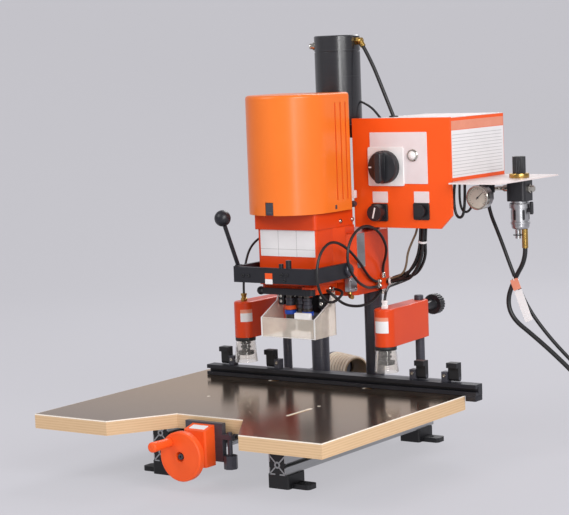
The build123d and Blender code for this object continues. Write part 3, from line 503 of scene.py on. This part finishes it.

# Motor and hood: a cast motor under a deep cover with a half-round front, moulded in ABS and latched to the
# band below. It has a spring latch in a slot, stops and white pads behind, three grooves a side, and socket
# screws in the band. The grooves' floors and a small square on each side are painted dark, as shade.
# Bright orange paint: slightly yellower than the rest and semi-gloss, so the front shows soft vertical bands
hooded = coat("bright_orange_paint_on_abs", "#E66C1E", "#EC7A2A", patch=142.9, detail=3, rough=(0.27, 0.35),
              optics={"IOR": 1.45}, edge=1, relief=(0.06, 0.3, 2.083, 1))
dress(hooded, "motor_hood")
dress(diecast, "motor")
latch_parts_and_shade, groove_floor_shade, screws, pads = (bmesh.new() for _ in range(4))
plate(latch_parts_and_shade, rounded(18, 26, 2), 3, (4, -72.4, 536), soft=0.8)
plate(latch_parts_and_shade, rounded(10, 5, 1.5), 3.4, (7, -75.2, 527), soft=0.8)
for side in (-1, 1):
    # Painted shade: a small black square on each side of the hood stands for the shade in a recess there
    plate(latch_parts_and_shade, rounded(7, 9, 1), 0.4, (side * 91.9, 45, 532), (0, side, 0))
    lathe(latch_parts_and_shade, [(0, 0), (7, 0), (7, 9), (5.6, 12), (0, 12)], (side * 85, 116, 532), (0, 1, 0), 24)
    for y in (53, 73, 92):
        plate(groove_floor_shade, rounded(4.8, 205, 1), 0.3, (side * 90, y, 648.5), (0, side, 0))
    for y in (76, 122):
        lathe(screws, [(0, 1.2), (2.2, 1.2), (2.4, 3.2), (4.2, 3.2), (4.8, 2.6), (4.8, 0)],
              (side * 79.8, y, 499), (side, 0, 0), 20)
    plate(pads, rounded(10, 17, 2), 11, (side * 86.5, 116.1, 553), (-1, 0, 0), soft=0.8)
build("hood_latch_parts_and_shade", latch_parts_and_shade, blackened, "head")
# Painted shade: strips of the redder enamel on the groove floors, so the grooves show dark
build("hood_groove_painted_shade", groove_floor_shade, enamel, "head")
build("hood_screws", screws, nickel, "head")
build("hood_pads", pads, white, "head")

# Insertion strap: lacquered steel bar bent to a U, on two pivots with turned caps. Cap screws hold the
# ram's plate to it, and a bare two-colour sticker marks its middle.
# Satin ABS: black with a soft sheen, worn shinier in places
satin = coat("satin_black_abs", "#161619", "#242428", patch=16.67, detail=4, rough=(0.25, 0.42),
             optics={"IOR": 1.52}, edge=0.8)
dress(baked, "insertion_bracket")
CAP = [(0, 0.8), (1.8, 0.8), (2, 2.4), (3.2, 2.4), (3.6, 2), (3.6, 0)]
form = bmesh.new()
for x, z in ((-80, 393), (-66, 393), (20, 397), (34, 397), (27, 386)):
    lathe(form, CAP, (x, -61.8, z), (0, -1, 0), 18)
build("strap_screws", form, satin, "insertion_bracket")
slab("strap_sticker", (19, 12.5, 1), 0.4, (-13.5, -62, 393.6), nylon, "insertion_bracket",
     soft=0.1)
slab("strap_sticker_foot", (19, 10.5, 1), 0.4, (-13.5, -62, 382), vinyl, "insertion_bracket",
     soft=0.1)
form = bmesh.new()
for side in (-1, 1):
    lathe(form, [(12.6, 0), (13.2, 0.3), (13.2, 4.6), (11.6, 6.4), (4.6, 6.6), (3.8, 4.8), (0, 4.8)],
          (side * 105.3, 63, 396), (side, 0, 0), 36)
build("pivot_caps", form, blackened, "head")


# Hold-down clamps: a cast arm on each post, with a clear cone over a sprung plunger, a seal ring, a rubber
# foot and an air fitting on top. A fluted knob behind locks the arm, and a bare plate with an orange head
# is bent round its front.
def fluted(radius, depth, count, steps=8):
    """An outline with shallow flutes round it"""
    turns = [2 * math.pi * i / (count * steps) for i in range(count * steps)]
    reach = [radius - depth * (0.5 - 0.5 * math.cos(count * t)) ** 3 for t in turns]
    return [(r * math.cos(t), r * math.sin(t)) for r, t in zip(reach, turns)]


def wrap(name, centre, radius, arc, low, high, mat, body):
    """A thin plate bent round an upright cylinder, over an arc in degrees"""
    form = bmesh.new()
    rows = []
    for i in range(13):
        t = math.radians(arc[0] + (arc[1] - arc[0]) * i / 12)
        x, y = math.cos(t), math.sin(t)
        rows.append([form.verts.new((centre[0] + r * x, centre[1] + r * y, z))
                     for r, z in ((radius, low), (radius + 0.5, low), (radius + 0.5, high), (radius, high))])
    tube(form, rows)
    build(name, form, mat, body)


dress(enamel, "left_clamp_arm", "right_clamp_arm")
# Polished polycarbonate: turned and clear, so the cones show mainly by their bright rims
SCUFFS = 16.67
clear, tree, place = finish("polished_polycarbonate")
scuff = node(tree, "TexNoise", {"Vector": place, "Scale": 1000 / SCUFFS, "Detail": 6.0}).outputs["Fac"]
span = {"From Min": 0.45, "From Max": 0.75, "To Min": 0.02, "To Max": 0.12}
rough = node(tree, "MapRange", {"Value": scuff, **span}).outputs[0]
skin = node(tree, "BsdfPrincipled", {"Base Color": linear("#FBF7F2"), "Roughness": rough, "IOR": 1.32,
                                     "Transmission Weight": 0.93})
node(tree, "OutputMaterial", {"Surface": skin.outputs[0]})
dress(clear, "left_clamp_cone", "right_clamp_cone")
# Nitrile rubber: moulded, matt black
rubber_seal = coat("moulded_nitrile_rubber", "#111112", "#1E1E20", patch=6.667, detail=3, rough=0.55,
                   optics={"IOR": 1.52})
# Orange vinyl: plain, faded and smooth
header = coat("plain_orange_vinyl", "#DB8467", "#E4967B", patch=22.22, detail=3, rough=0.36,
              optics={"IOR": 1.5})
CONE_X, CONE_Y, POST_X, LOCK_Z = 184, 78, 177, 298
PLATE_TOP, HEAD_LOW = 299, 291
RAM = [(0, 198), (14.5, 198), (16.8, 199.5), (16.8, 204), (9, 206), (8.5, 211), (11.6, 212), (11.6, 215),
       (8.5, 216), (8.5, 220), (11.6, 221), (11.6, 224), (8.5, 225), (8.5, 230), (11.8, 232), (11.8, 299.5),
       (0, 299.5)]
for word, side, fitting, arc, low in (("left", -1, brass, (-78, -8), 272),
                                      ("right", 1, white, (-122, -42), 266)):
    x, y, arm = side * CONE_X, CONE_Y, word + "_clamp"
    turned(word + "_seal", [(20, 0), (22.2, 0), (22.6, 0.6), (22.6, 7), (22.2, 7.6), (20, 7.6)],
           (x, y, 228.2), (0, 0, 1), 48, rubber_seal, arm)
    turned(word + "_foot", [(0, 0), (15, 0), (17.6, 1.5), (17.6, 8), (12.2, 9)], (x, y, 196.2), (0, 0, 1), 40,
           rubber_seal, arm + "_plunger")
    ram = turned(word + "_ram", RAM, (x, y, 0), (0, 0, 1), 40, moulded, arm + "_plunger")
    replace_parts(ram, arm + "_plunger")
    form = bmesh.new()
    plate(form, fluted(22.5, 1.5, 22), 18, (side * POST_X, 302, LOCK_Z), soft=2.0)
    lathe(form, [(4, 0), (8, 0), (8, 22), (12, 30), (12, 36)], (side * POST_X, 249, LOCK_Z), (0, 1, 0), 28)
    lathe(form, [(4, 0), (4, 12)], (side * POST_X, 238.4, LOCK_Z), (0, 1, 0), 16)
    lock = build(word + "_lock_knob", form, satin, arm + "_knob")
    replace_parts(lock, arm + "_knob")
    turned(word + "_fitting", [(4.4, 0), (8, 0.2), (8, 6), (6, 7), (6, 12), (7.4, 13), (7.4, 17), (0, 17.4)],
           (x, y, 316), (0, 0, 1), 6, fitting, arm)
    wrap(word + "_plate", (x, y), 22.95, arc, low, HEAD_LOW, vinyl, arm)
    wrap(word + "_plate_head", (x, y), 22.95, arc, HEAD_LOW, PLATE_TOP, header, arm)

# Stroke cylinder: an aluminium barrel with its caps, screwed down on the yoke to drive the head.
# A nickel-plated plug closes its left port.
# Dark anodised aluminium: dark grey, turned, with a broad soft highlight down its length
grey = coat("dark_anodised_aluminium", "#151519", "#202025", patch=(125, 125, 1.429), detail=2,
            rough=(0.2, 0.3), optics={"IOR": 1.75}, edge=0.8, relief=(0.05, 0.2))
dress(grey, "air_cylinder")
turned("cylinder_plug", [(9, 0), (9, 4), (6.6, 4.6), (6.6, 10), (5.4, 12), (0, 12)], (-44.2, 186.6, 871),
       (-0.9, -0.436, 0), 24, nickel, "base")

# Control box and panel: folded steel sheet, bolted to the yoke's right end. A bare vinyl sheet with plain
# rules and an orange header covers the box's right side, and a pale sheet on top is painted reflection, the
# sheen its top shows at a low angle.
# Powder coat: orange, semi-gloss, with a fine orange peel
coated = coat("orange_powder_coat", "#EA5014", "#F25C1C", patch=111.1, detail=3, rough=(0.3, 0.4),
              optics={"IOR": 1.36}, edge=1.2, relief=(0.06, 0.3, 1.923, 1))
dress(coated, "control_panel", "control_box")
slab("box_sheet", (230, 99, 1), 0.5, (315, 259, 636), vinyl, "base", (0, 1, 0), soft=0.15)
form = bmesh.new()
for row in range(13):
    plate(form, rounded(214, 1.1, 0.3), 0.15, (315.5, 259, 592 + 7 * row), (0, 1, 0))
build("sheet_rules", form, ruled, "base")
slab("box_header", (230, 19, 1), 0.5, (315, 259, 696), header, "base", (0, 1, 0), soft=0.15)
# Pale lacquer: satin, its faint pink a painted reflection of the orange beside it
lacquer = coat("pale_lacquered_sheet", "#D9CBC8", "#E4D8D5", patch=50, detail=3, rough=(0.25, 0.36),
               optics={"IOR": 1.5})
# Painted reflection: a pale sheet on the box's top, for the sheen it shows at a low angle
slab("box_top_painted_reflection", (193, 232, 2), 1.2, (217.5, 259, 712), lacquer, "base", up=(0, 1, 0), soft=0.4)

# Panel plates: a face plate and two legend plates of pale aluminium, left bare.
# They are riveted flat on the panel.
# Lacquered plate: satin, its pink cast a painted reflection of the orange around it
faceplate = coat("satin_lacquered_plate", "#D9CBCB", "#E3D8D8", patch=33.33, detail=3, rough=(0.3, 0.42),
                 optics={"IOR": 1.5})
form = bmesh.new()
plate(form, rounded(141, 109, 1.5), 0.8, (193.5, 136, 629.5), soft=0.25)
plate(form, rounded(38, 24, 1.5), 0.8, (145, 136, 546), soft=0.25)
plate(form, rounded(37, 24, 1.5), 0.8, (247.5, 136, 547), soft=0.25)
build("panel_plates", form, faceplate, "base")

# Main switch: a round black handle with a grip across it and a white index mark, on a white escutcheon.
# Both are moulded in ABS and screwed to the face plate.
SWITCH_X, SWITCH_Z = 162.5, 611
slab("switch_escutcheon", (89, 83, 4), 3.6, (SWITCH_X, 136, 611.5), white, "base", soft=1.0)
form = bmesh.new()
lathe(form, [(35, 0), (35, 13), (33.8, 15.4), (31.5, 16.5), (0, 16.5)], (SWITCH_X, 131.6, SWITCH_Z),
      (0, -1, 0), 64)
plate(form, rounded(67, 17, 8), 17.4, (SWITCH_X, 115.6, SWITCH_Z), (0, 0, 1), (-1, 0, 0), soft=3)
handle = build("switch_handle", form, satin, "main_switch_knob")
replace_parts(handle, "main_switch_knob")
slab("switch_index", (7, 3, 1), 0.5, (SWITCH_X - 28, 115.2, SWITCH_Z), white, "main_switch_knob",
     soft=0.15)

# Pilot lamp: a white moulded dome in a bright nickel-plated ring.
# It is pushed through the face plate and screwed up from behind.
turned("lamp_ring", [(9.4, 0), (13, 0), (13, 2), (11.6, 3.6), (9.4, 3.6)], (229, 135.3, 635), (0, -1, 0), 40,
       nickel, "base")
turned("lamp_lens", [(9.4, 0), (9.4, 3), (8.2, 5.6), (5.4, 7.4), (2.4, 8.1), (0, 8.3)], (229, 135.2, 635),
       (0, -1, 0), 40, white, "base")

# Selector and push button: moulded black knobs on square black bases, screwed to the panel.
# The selector's face carries a white pointer.
dress(satin, "selector_knob", "push_button")
form = bmesh.new()
plate(form, rounded(40, 38, 4), 4.4, (143.5, 136, 513.5), soft=1.2)
plate(form, rounded(39, 36, 4), 2.4, (246.5, 136, 517), soft=0.8)
build("control_bases", form, satin, "base")
lean = math.radians(15)
slab("selector_pointer", (3.4, 24, 1.4), 0.6, (143.5, 110.1, 514), white, "selector_knob",
     (math.cos(lean), 0, -math.sin(lean)), (math.sin(lean), 0, math.cos(lean)), soft=0.2)

# Air unit: a shelf of pale lacquered sheet under the box carries the regulator. A turned brass ring clamps
# its moulded body to the shelf, under a fluted black knob, and nickel plugs are screwed into its sides.
dress(lacquer, "air_plate")
dress(satin, "filter_regulator")
dress(brass, "supply_fittings")
AIR_X, AIR_Y = 405, 275
form = bmesh.new()
plate(form, fluted(14, 1.1, 20), 35.4, (AIR_X, AIR_Y, 588.6), up=(0, 1, 0), soft=1.0)
lathe(form, [(10.5, 0), (10.5, 0.7), (9, 1.0), (0, 1.0)], (AIR_X, AIR_Y, 623.8), (0, 0, 1), 32)
knob = build("regulator_cap", form, satin, "regulator_knob")
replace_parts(knob, "regulator_knob")
turned("regulator_ring", [(15, 0), (20.8, 0), (21.2, 0.8), (21.2, 7.6), (20.4, 9.2), (15, 9.2)],
       (AIR_X, AIR_Y, 579), (0, 0, 1), 40, brass, "base")
form = bmesh.new()
for side, reach, steps in ((-1, 17, 24), (1, 13, 6)):
    lathe(form, [(9.5, 0), (9.5, 4), (7.4, 5), (7.4, reach - 3), (6, reach), (0, reach)],
          (AIR_X + side * 21.8, AIR_Y, 556), (side, 0, 0), steps)
build("regulator_ports", form, nickel, "base")

# Filter bowl: die-cast zinc, screwed up under the regulator by its neck ring.
# It has sight windows, drawn as dark plates that paint the shade seen through them, a black quarter-turn
# lever and a drain.
dress(diecast, "filter_bowl", "pressure_gauge")
form = bmesh.new()
lathe(form, [(18.4, 0), (22.4, 0), (22.4, 9), (21, 11), (18.4, 11)], (AIR_X, AIR_Y, 515), (0, 0, 1), 40)
lathe(form, [(18.6, 0), (20.6, 1), (20.6, 6), (18.6, 7)], (AIR_X, AIR_Y, 480), (0, 0, 1), 40)
build("bowl_rings", form, diecast, "base")
# Painted shade: dark plates in the guard's windows
form = bmesh.new()
for a in range(20, 380, 60):
    t = math.radians(a)
    plate(form, rounded(5.6, 22, 2.6), 0.5, (AIR_X + 18.9 * math.cos(t), AIR_Y + 18.9 * math.sin(t), 501),
          (-math.sin(t), math.cos(t), 0), soft=0.2)
build("bowl_window_shade", form, satin, "base")
form = bmesh.new()
lathe(form, [(5, 0), (5, 8), (4, 8.6), (0, 8.6)], (423, AIR_Y, 511), (1, 0, 0), 20)
plate(form, rounded(9, 27, 3.5), 5, (430, AIR_Y, 515), (0, 1, 0), soft=1.2)
lathe(form, [(4, 0), (10.5, 0.6), (10.5, 2.6), (4, 3.4)], (399, AIR_Y, 456), (0, 0, 1), 28)
build("bowl_lever", form, satin, "base")

# Pressure gauge: a bright rim round a pale printed dial with plain marks and a dark needle.
# Its die-cast case screws on a moulded block under the shelf.
GAUGE_X, GAUGE_Z, MARKS = 352, 543, 20
turned("gauge_rim", [(21.8, 0.2), (21.8, 2.4), (23, 4.2), (24.8, 4.4), (25.8, 3.4), (25.8, -6), (24.8, -6.6)],
       (GAUGE_X, 189.2, GAUGE_Z), (0, -1, 0), 56, nickel, "base")
# Dial card: off-white print stock, matt
dial = coat("printed_dial_card", "#BFB8AA", "#D2CBBD", patch=6.25, detail=3, rough=0.45)
turned("gauge_dial", [(21.9, 0), (21.9, 0.5), (0, 0.5)], (GAUGE_X, 189.1, GAUGE_Z), (0, -1, 0), 48, dial,
       "base")
form = bmesh.new()
for i in range(21):
    t = math.radians(-135 + 13.5 * i)
    tall = 3.6 if i % 5 == 0 else 2.0
    reach = MARKS - tall / 2
    middle = (GAUGE_X + reach * math.sin(t), 188.6, GAUGE_Z + reach * math.cos(t))
    plate(form, rounded(0.7, tall, 0.2), 0.15, middle, (math.cos(t), 0, -math.sin(t)),
          (math.sin(t), 0, math.cos(t)))
t = math.radians(48)
plate(form, [(-1.1, -5), (1.1, -5), (0.4, 17), (-0.4, 17)], 0.3, (GAUGE_X, 188.4, GAUGE_Z),
      (math.cos(t), 0, -math.sin(t)), (math.sin(t), 0, math.cos(t)))
lathe(form, [(2, 0), (2, 0.8), (0, 0.9)], (GAUGE_X, 188.4, GAUGE_Z), (0, -1, 0), 16)
build("gauge_marks", form, satin, "base")
slab("gauge_block", (24, 26, 3), 24, (GAUGE_X, 242, 562), satin, "base", soft=1.5)

# Dust hose: ribbed PVC, extruded and wound, pushed over the dust port at the rear.
# Ribbed PVC: beige and a little dusty, its grooves painted darker than its pale ribs, as shade
DUST, HOSE_AT, HOSE_AXIS = 16.67, (-0.157, 0.3905, 0.123), (0.906, -0.423, 0)
GROOVE, RIB = 0.0298, 0.0318
ribbed, tree, place = finish("ribbed_beige_pvc")
dust = node(tree, "TexNoise", {"Vector": place, "Scale": 1000 / DUST, "Detail": 3.0}).outputs["Fac"]
cream = node(tree, "Mix", {0: dust, 6: linear("#F0DEC2"), 7: linear("#FFF5E4")}, data_type="RGBA").outputs[2]
reach = node(tree, "VectorMath", {0: place, 1: HOSE_AT}, operation="SUBTRACT").outputs[0]
reach = node(tree, "VectorMath", {0: reach, 1: HOSE_AXIS}, operation="CROSS_PRODUCT").outputs[0]
reach = node(tree, "VectorMath", {0: reach}, operation="LENGTH").outputs["Value"]
# Painted shade: the tone darkens towards the bottom of each groove, by the distance from the hose's axis
groove_shade = node(tree, "MapRange", {"Value": reach, "From Min": GROOVE, "From Max": RIB}).outputs[0]
tone = node(tree, "Mix", {0: groove_shade, 6: linear("#9A8262"), 7: cream}, data_type="RGBA").outputs[2]
skin = node(tree, "BsdfPrincipled", {"Base Color": tone, "Roughness": 0.5, "IOR": 1.53})
node(tree, "OutputMaterial", {"Surface": skin.outputs[0]})
dress(ribbed, "dust_hose")

# Power cord: 8 mm rubber flex. It hangs from the gland under the air shelf to the bench and ends in a plug.
# The length that the view doesn't take in lies as a flat coil on the bench, with a nylon tie round it.
# Black rubber: drawn through a die, matt with a faint bloom
rubber = coat("drawn_black_rubber", "#0E0E0F", "#1D1D1F", patch=8.333, detail=4, rough=(0.35, 0.55),
              optics={"IOR": 1.52})
dress(satin, "power_plug")
CORD = [(303, 318, 551.9), (303, 318, 512), (340, 302, 450), (372, 298, 372), (404, 298, 300),
        (455, 299, 237), (520, 300, 176), (588, 300, 110), (650, 300, 42), (704, 300, 4)]
COIL_X, COIL_Z = 756, 4
y, heading = 300.0, 1
for k in range(7):
    r = 78.0 - 4.7 * k
    for a in range(15, 180, 30):
        turn = math.radians(a)
        dx, dy = r / 0.966 * math.sin(turn), r - r / 0.966 * math.cos(turn)
        CORD.append((COIL_X + heading * dx, y + heading * dy, COIL_Z))
    y, heading = y + heading * 2 * r, -heading
for a in (15, 45, 75):
    turn = math.radians(a)
    CORD.append((COIL_X - 31 * math.sin(turn), y - 30 + 31 * math.cos(turn), COIL_Z))
flex = hose("power_flex", CORD + [(726, y - 30, COIL_Z)], 4.0, rubber, "base")
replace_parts(flex, "power_cord", "power_coil")
hose("coil_tie", [(800, 376, 1), (800, 376, 8.5), (812, 376, 9), (834, 376, 9), (839, 376, 8.5),
                  (839, 376, 1)], 0.9, moulded, "base")
# Cord gland: a black nylon hexagon under the shelf, with a tapered strain relief below it
turned("cord_gland", [(4.2, 0), (5, 0), (6.6, 26), (9, 29), (9, 33), (12.6, 33), (12.6, 57)], (303, 318, 519),
       (0, 0, 1), 6, moulded, "base")

# Air hose: 10 mm rubber hose from the bowl's outlet down to the bench, with a brass coupling on its end.
# It crosses the cord on its way.
dress(brass, "air_coupling")
AIR = [(415, 275, 429.9), (415, 275, 405), (382, 286, 362), (363, 285, 316), (375, 285, 276), (422, 284, 244),
       (476, 282, 204), (535, 278, 156), (596, 272, 100), (648, 262, 46), (698, 250, 5), (742, 238, 5)]
air_line = hose("air_line", AIR, 5.0, rubber, "base")
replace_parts(air_line, "air_hose")

# Blank tag: a vinyl card with a plain orange head.
# A string ties it round the cord where the air hose crosses it.
lean = math.atan2(34, 90)
hang, wide = (-math.sin(lean), 0, math.cos(lean)), (math.cos(lean), 0, math.sin(lean))
slab("tag_card", (19, 70, 2), 0.5, (406, 278, 306), vinyl, "base", wide, hang, soft=0.1)
slab("tag_head", (19, 24, 2), 0.7, (388.4, 278.1, 351), header, "base", wide, hang, soft=0.1)
hose("tag_string", [(385, 277.7, 359), (381, 277.4, 367), (381, 300, 366), (386, 303, 358), (386, 279, 357)],
     0.8, vinyl, "base")

# Cylinder lines: an 8 mm rubber hose from the elbow into the box, through a rubber grommet in its lid.
# A thinner one joins the box to the lower port.
elbow = hose("cylinder_line", [(68, 208.3, 866.7), (86, 209, 836), (107, 210.5, 787), (143, 213.5, 698)], 4,
             rubber, "base")
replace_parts(elbow, "cylinder_hose")
hose("cylinder_return", [(47, 222, 748), (66, 231, 738), (84, 236, 716), (100, 238, 694), (119.9, 238, 688)],
     2.6, rubber, "base")
turned("lid_grommet", [(4.6, 0), (10, 0), (10, 1.6), (8.4, 3), (4.6, 3.4)], (136.8, 213, 713), (0, 0, 1), 32,
       rubber_seal, "base")

# Shelf lines: two rubber control lines loop down under the shelf.
# A nickel-plated pipe joins the gauge block to the regulator.
hose("shelf_loop", [(292, 200, 575), (288, 198, 545), (293, 197, 502), (309, 199, 498), (314, 202, 530),
                    (312, 206, 575)], 3, rubber, "base")
hose("gauge_loop", [(300, 206, 575), (298, 205, 540), (305, 204, 512), (320, 206, 510), (331, 214, 536),
                    (341, 228, 556)], 2.6, rubber, "base")
hose("gauge_pipe", [(352, 240, 556), (352, 262, 556), (355, 275, 556), (369, 275, 556)], 4.4, nickel, "base")


# Supply loom: five hoses and cables tied together, from the box down to the manifold on the carriage.
# They are held at both ends and run beside the manifold, clear of the right clamp.
def give(name, routes, mat):
    """Hoses that run from a fixed body to a moving one, joined as one mesh"""
    form = bmesh.new()
    for points, radius in routes:
        line = spline(name + "_line", points, radius, mat)
        bpy.context.view_layer.update()
        drawn = bpy.data.meshes.new_from_object(line)
        form.from_mesh(drawn)
        bpy.data.objects.remove(line)
        bpy.data.meshes.remove(drawn)
    form.transform(Matrix.Scale(1000, 4))
    made = shape(name, form, mat)
    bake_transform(made)
    return made


BOX_LOW = 575.9
LOOM = [(226, 178, BOX_LOW), (226, 178, 505), (216, 187, 445), (207, 194, 405), (176, 200, 364),
        (150, 200, 361), (116.1, 200, 354)]
SPREAD = [1.3, 1.1, 0.8, 1.6, 2.3, 1.4, 0.9]
strands = []
for dx, dy, dz in ((0, 0, 0), (5.2, 3.4, 4.2), (-4.8, -3.4, 0.6), (3.6, -5.2, 1.2), (-3.2, 5.0, 6.4)):
    route = [(x + dx * k, y + dy * k, min(z + dz * k, BOX_LOW)) for (x, y, z), k in zip(LOOM, SPREAD)]
    strands.append((route, 3.4))
loom = give("loom_bundle", strands, rubber)
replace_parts(loom, "supply_loom")
form = bmesh.new()
lathe(form, [(8.2, 0), (9.6, 0), (9.6, 4.6), (8.2, 4.6), (8.2, 0)], (216.5, 186.4, 449.8),
      (-0.18, 0.16, -0.97), 32)
lathe(form, [(8.6, 0), (10, 0), (10, 4.6), (8.6, 4.6), (8.6, 0)], (129, 200, 357.5), (-1, 0, -0.03), 32)
ties = shape("loom_ties", form, white)
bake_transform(ties)

# Signal cable: a thin lead beside the loom, from the box to the manifold.
# Brown PVC: drawn smooth, uneven in tone from dust
brown = coat("drawn_brown_pvc", "#5E4E3A", "#85735C", patch=11.11, detail=3, rough=0.45, optics={"IOR": 1.53})
SIGNAL = [(212, 176, BOX_LOW), (212, 178, 520), (207, 182, 472), (192, 184, 448), (178, 186, 422),
          (174, 187, 398), (166, 189, 380), (148, 193, 368), (116.1, 196, 361)]
give("signal_cable", [(SIGNAL, 2.4)], brown)

# Clamp lines: thin rubber air hoses from the yoke and the box to the fitting on each clamp.
# They are pushed in at both ends.
LEFT = [(-92, 216, 671.9), (-96, 214, 600), (-112, 196, 520), (-140, 168, 472), (-168, 130, 456),
        (-180, 102, 434), (-183, 86, 398), (-184, 78, 362), (-184, 78, 332)]
RIGHT = [(221, 190, BOX_LOW), (221, 190, 505), (214, 194, 450), (204, 201, 408), (176, 200, 366),
         (152, 188, 356), (151, 166, 354), (160, 134, 355), (174, 104, 352), (183, 84, 347), (184, 78, 332)]
give("left_clamp_line", [(LEFT, 2.6)], rubber)
give("right_clamp_line", [(RIGHT, 3.0)], rubber)

# Head lines: two thin rubber hoses in loops from the manifold to the gear cover, and a low one under it,
# each with a nickel fitting screwed in at its end.
GEAR = [(110, 177.9, 359), (110, 148, 359), (113, 92, 414), (113, 42, 450), (113, -10, 467), (113, -52, 448),
        (113, -70, 408), (113, -62, 364), (113, -30, 338), (112, 4, 337), (112, 40, 358), (72.1, 40, 358)]
LOOP = [(110, 177.9, 349), (110, 142, 349), (130, 88, 358), (142, 36, 378), (142, 4, 414), (142, 8, 454),
        (142, 40, 484), (142, 84, 492), (142, 130, 475), (142, 160, 440), (126, 180, 412), (110, 192, 392),
        (110, 192, 366.1)]
for name, route in (("gear_line", GEAR), ("loop_line", LOOP)):
    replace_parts(hose(name, route, 3, rubber, "head"), "head_hoses")
hose("low_line", [(72, 28, 356), (92, 24, 346), (102, 40, 328), (106, 70, 318), (110, 110, 314),
                  (110, 160, 322), (109, 190, 342)], 3, rubber, "head")
form = bmesh.new()
for at, axis in (((110, 178.4, 359), (0, -1, 0)), ((110, 178.4, 349), (0, -1, 0)),
                 ((110, 192, 365.6), (0, 0, 1)), ((71.6, 40, 358), (1, 0, 0)),
                 ((115.6, 200, 354), (1, 0, 0)), ((109, 190, 342.4), (0, 0, -1))):
    lathe(form, [(3.2, 0), (6, 0), (6, 4), (5, 5), (5, 11), (3.2, 12)], at, axis, 18)
build("hose_fittings", form, nickel, "head")

# Stage: a plain pale floor that sweeps up into a backdrop.
# Soft lamps light it, and the camera stands at the viewing angle.
# Studio paper: matt and even. It glows a little for the eye, so that its tone holds behind the machine.
paper, tree, place = finish("pale_studio_paper")
path = node(tree, "LightPath").outputs
seen = node(tree, "Math", {0: path["Is Camera Ray"], 1: path["Is Glossy Ray"]},
            operation="MAXIMUM").outputs[0]
seen = node(tree, "Math", {0: seen, 1: path["Is Transmission Ray"]}, operation="MAXIMUM").outputs[0]
lit = node(tree, "BsdfDiffuse", {"Color": linear("#D8D7DC")}).outputs[0]
shaded = node(tree, "BsdfDiffuse", {"Color": linear("#6A696E")}).outputs[0]
glow = node(tree, "Emission", {"Color": linear("#C9C8CD"), "Strength": 0.80}).outputs[0]
eye = node(tree, "AddShader", {0: shaded, 1: glow}).outputs[0]
node(tree, "OutputMaterial", {"Surface": node(tree, "MixShader", {0: seen, 1: lit, 2: eye}).outputs[0]})
FLOOR_END, CURVE, HALF_WIDTH = 3.0, 2.0, 22.0
rows = [(-20.0, 0.0), (FLOOR_END, 0.0)]
for a in range(10, 91, 10):
    turn = math.radians(a)
    rows.append((FLOOR_END + CURVE * math.sin(turn), CURVE - CURVE * math.cos(turn)))
rows.append((FLOOR_END + CURVE, 14.0))
sweep = bmesh.new()
lines = [[sweep.verts.new((x, depth, rise)) for depth, rise in rows] for x in (-HALF_WIDTH, HALF_WIDTH)]
for i in range(len(rows) - 1):
    sweep.faces.new((lines[0][i], lines[1][i], lines[1][i + 1], lines[0][i + 1])).smooth = True
sweep_mesh = bpy.data.meshes.new("studio_sweep")
sweep.to_mesh(sweep_mesh)
sweep.free()
sweep_mesh.materials.append(paper)
studio = bpy.data.objects.new("studio_sweep", sweep_mesh)
studio.rotation_euler = (0, 0, math.radians(35.3))
bpy.context.scene.collection.objects.link(studio)

world = bpy.data.worlds.new("studio_air")
world.use_nodes = True
world.node_tree.nodes["Background"].inputs[0].default_value = linear("#DADADF")
world.node_tree.nodes["Background"].inputs[1].default_value = 0.48
bpy.context.scene.world = world
for name, spot, aim, wide, tall, power in (("key", (-1.6, -2.6, 2.8), (0, 0, 0.4), 1.8, 1.8, 52),
                                           ("fill", (3.0, -1.6, 2.0), (0, 0.1, 0.4), 2.0, 2.0, 100),
                                           ("strip", (2.3, -2.2, 0.9), (0, 0, 0.6), 0.25, 1.7, 16),
                                           ("rim", (-0.6, 2.6, 2.6), (0, 0.1, 0.5), 1.6, 1.6, 60)):
    lamp = bpy.data.lights.new(name, "AREA")
    lamp.shape = "RECTANGLE"
    lamp.size = wide
    lamp.size_y = tall
    lamp.energy = power
    held = bpy.data.objects.new(name, lamp)
    held.location = spot
    held.rotation_euler = (Vector(aim) - Vector(spot)).to_track_quat("-Z", "Y").to_euler()
    bpy.context.scene.collection.objects.link(held)

# Camera: solved from the view's own points and lines, for an image of 569 by 515 pixels
IMAGE_WIDTH, FOCAL, SENSOR = 569, 1890.886, 36.0
STAND = (2.29766, -3.26629, 0.85127)
yaw, pitch, roll = 0.616059, 0.105759, -0.037717
right = Vector((math.cos(yaw), math.sin(yaw), 0))
ahead = Vector((-math.sin(yaw) * math.cos(pitch), math.cos(yaw) * math.cos(pitch), -math.sin(pitch)))
up = right.cross(ahead)
across = right * math.cos(roll) + up * math.sin(roll)
rise = up * math.cos(roll) - right * math.sin(roll)
lens = bpy.data.cameras.new("camera")
lens.sensor_fit = "HORIZONTAL"
lens.sensor_width = SENSOR
lens.lens = SENSOR * FOCAL / IMAGE_WIDTH
lens.clip_end = 60
camera = bpy.data.objects.new("camera", lens)
turn = Matrix((across, rise, -ahead)).transposed().to_4x4()
camera.matrix_world = Matrix.Translation(STAND) @ turn
bpy.context.scene.collection.objects.link(camera)
bpy.context.scene.camera = camera
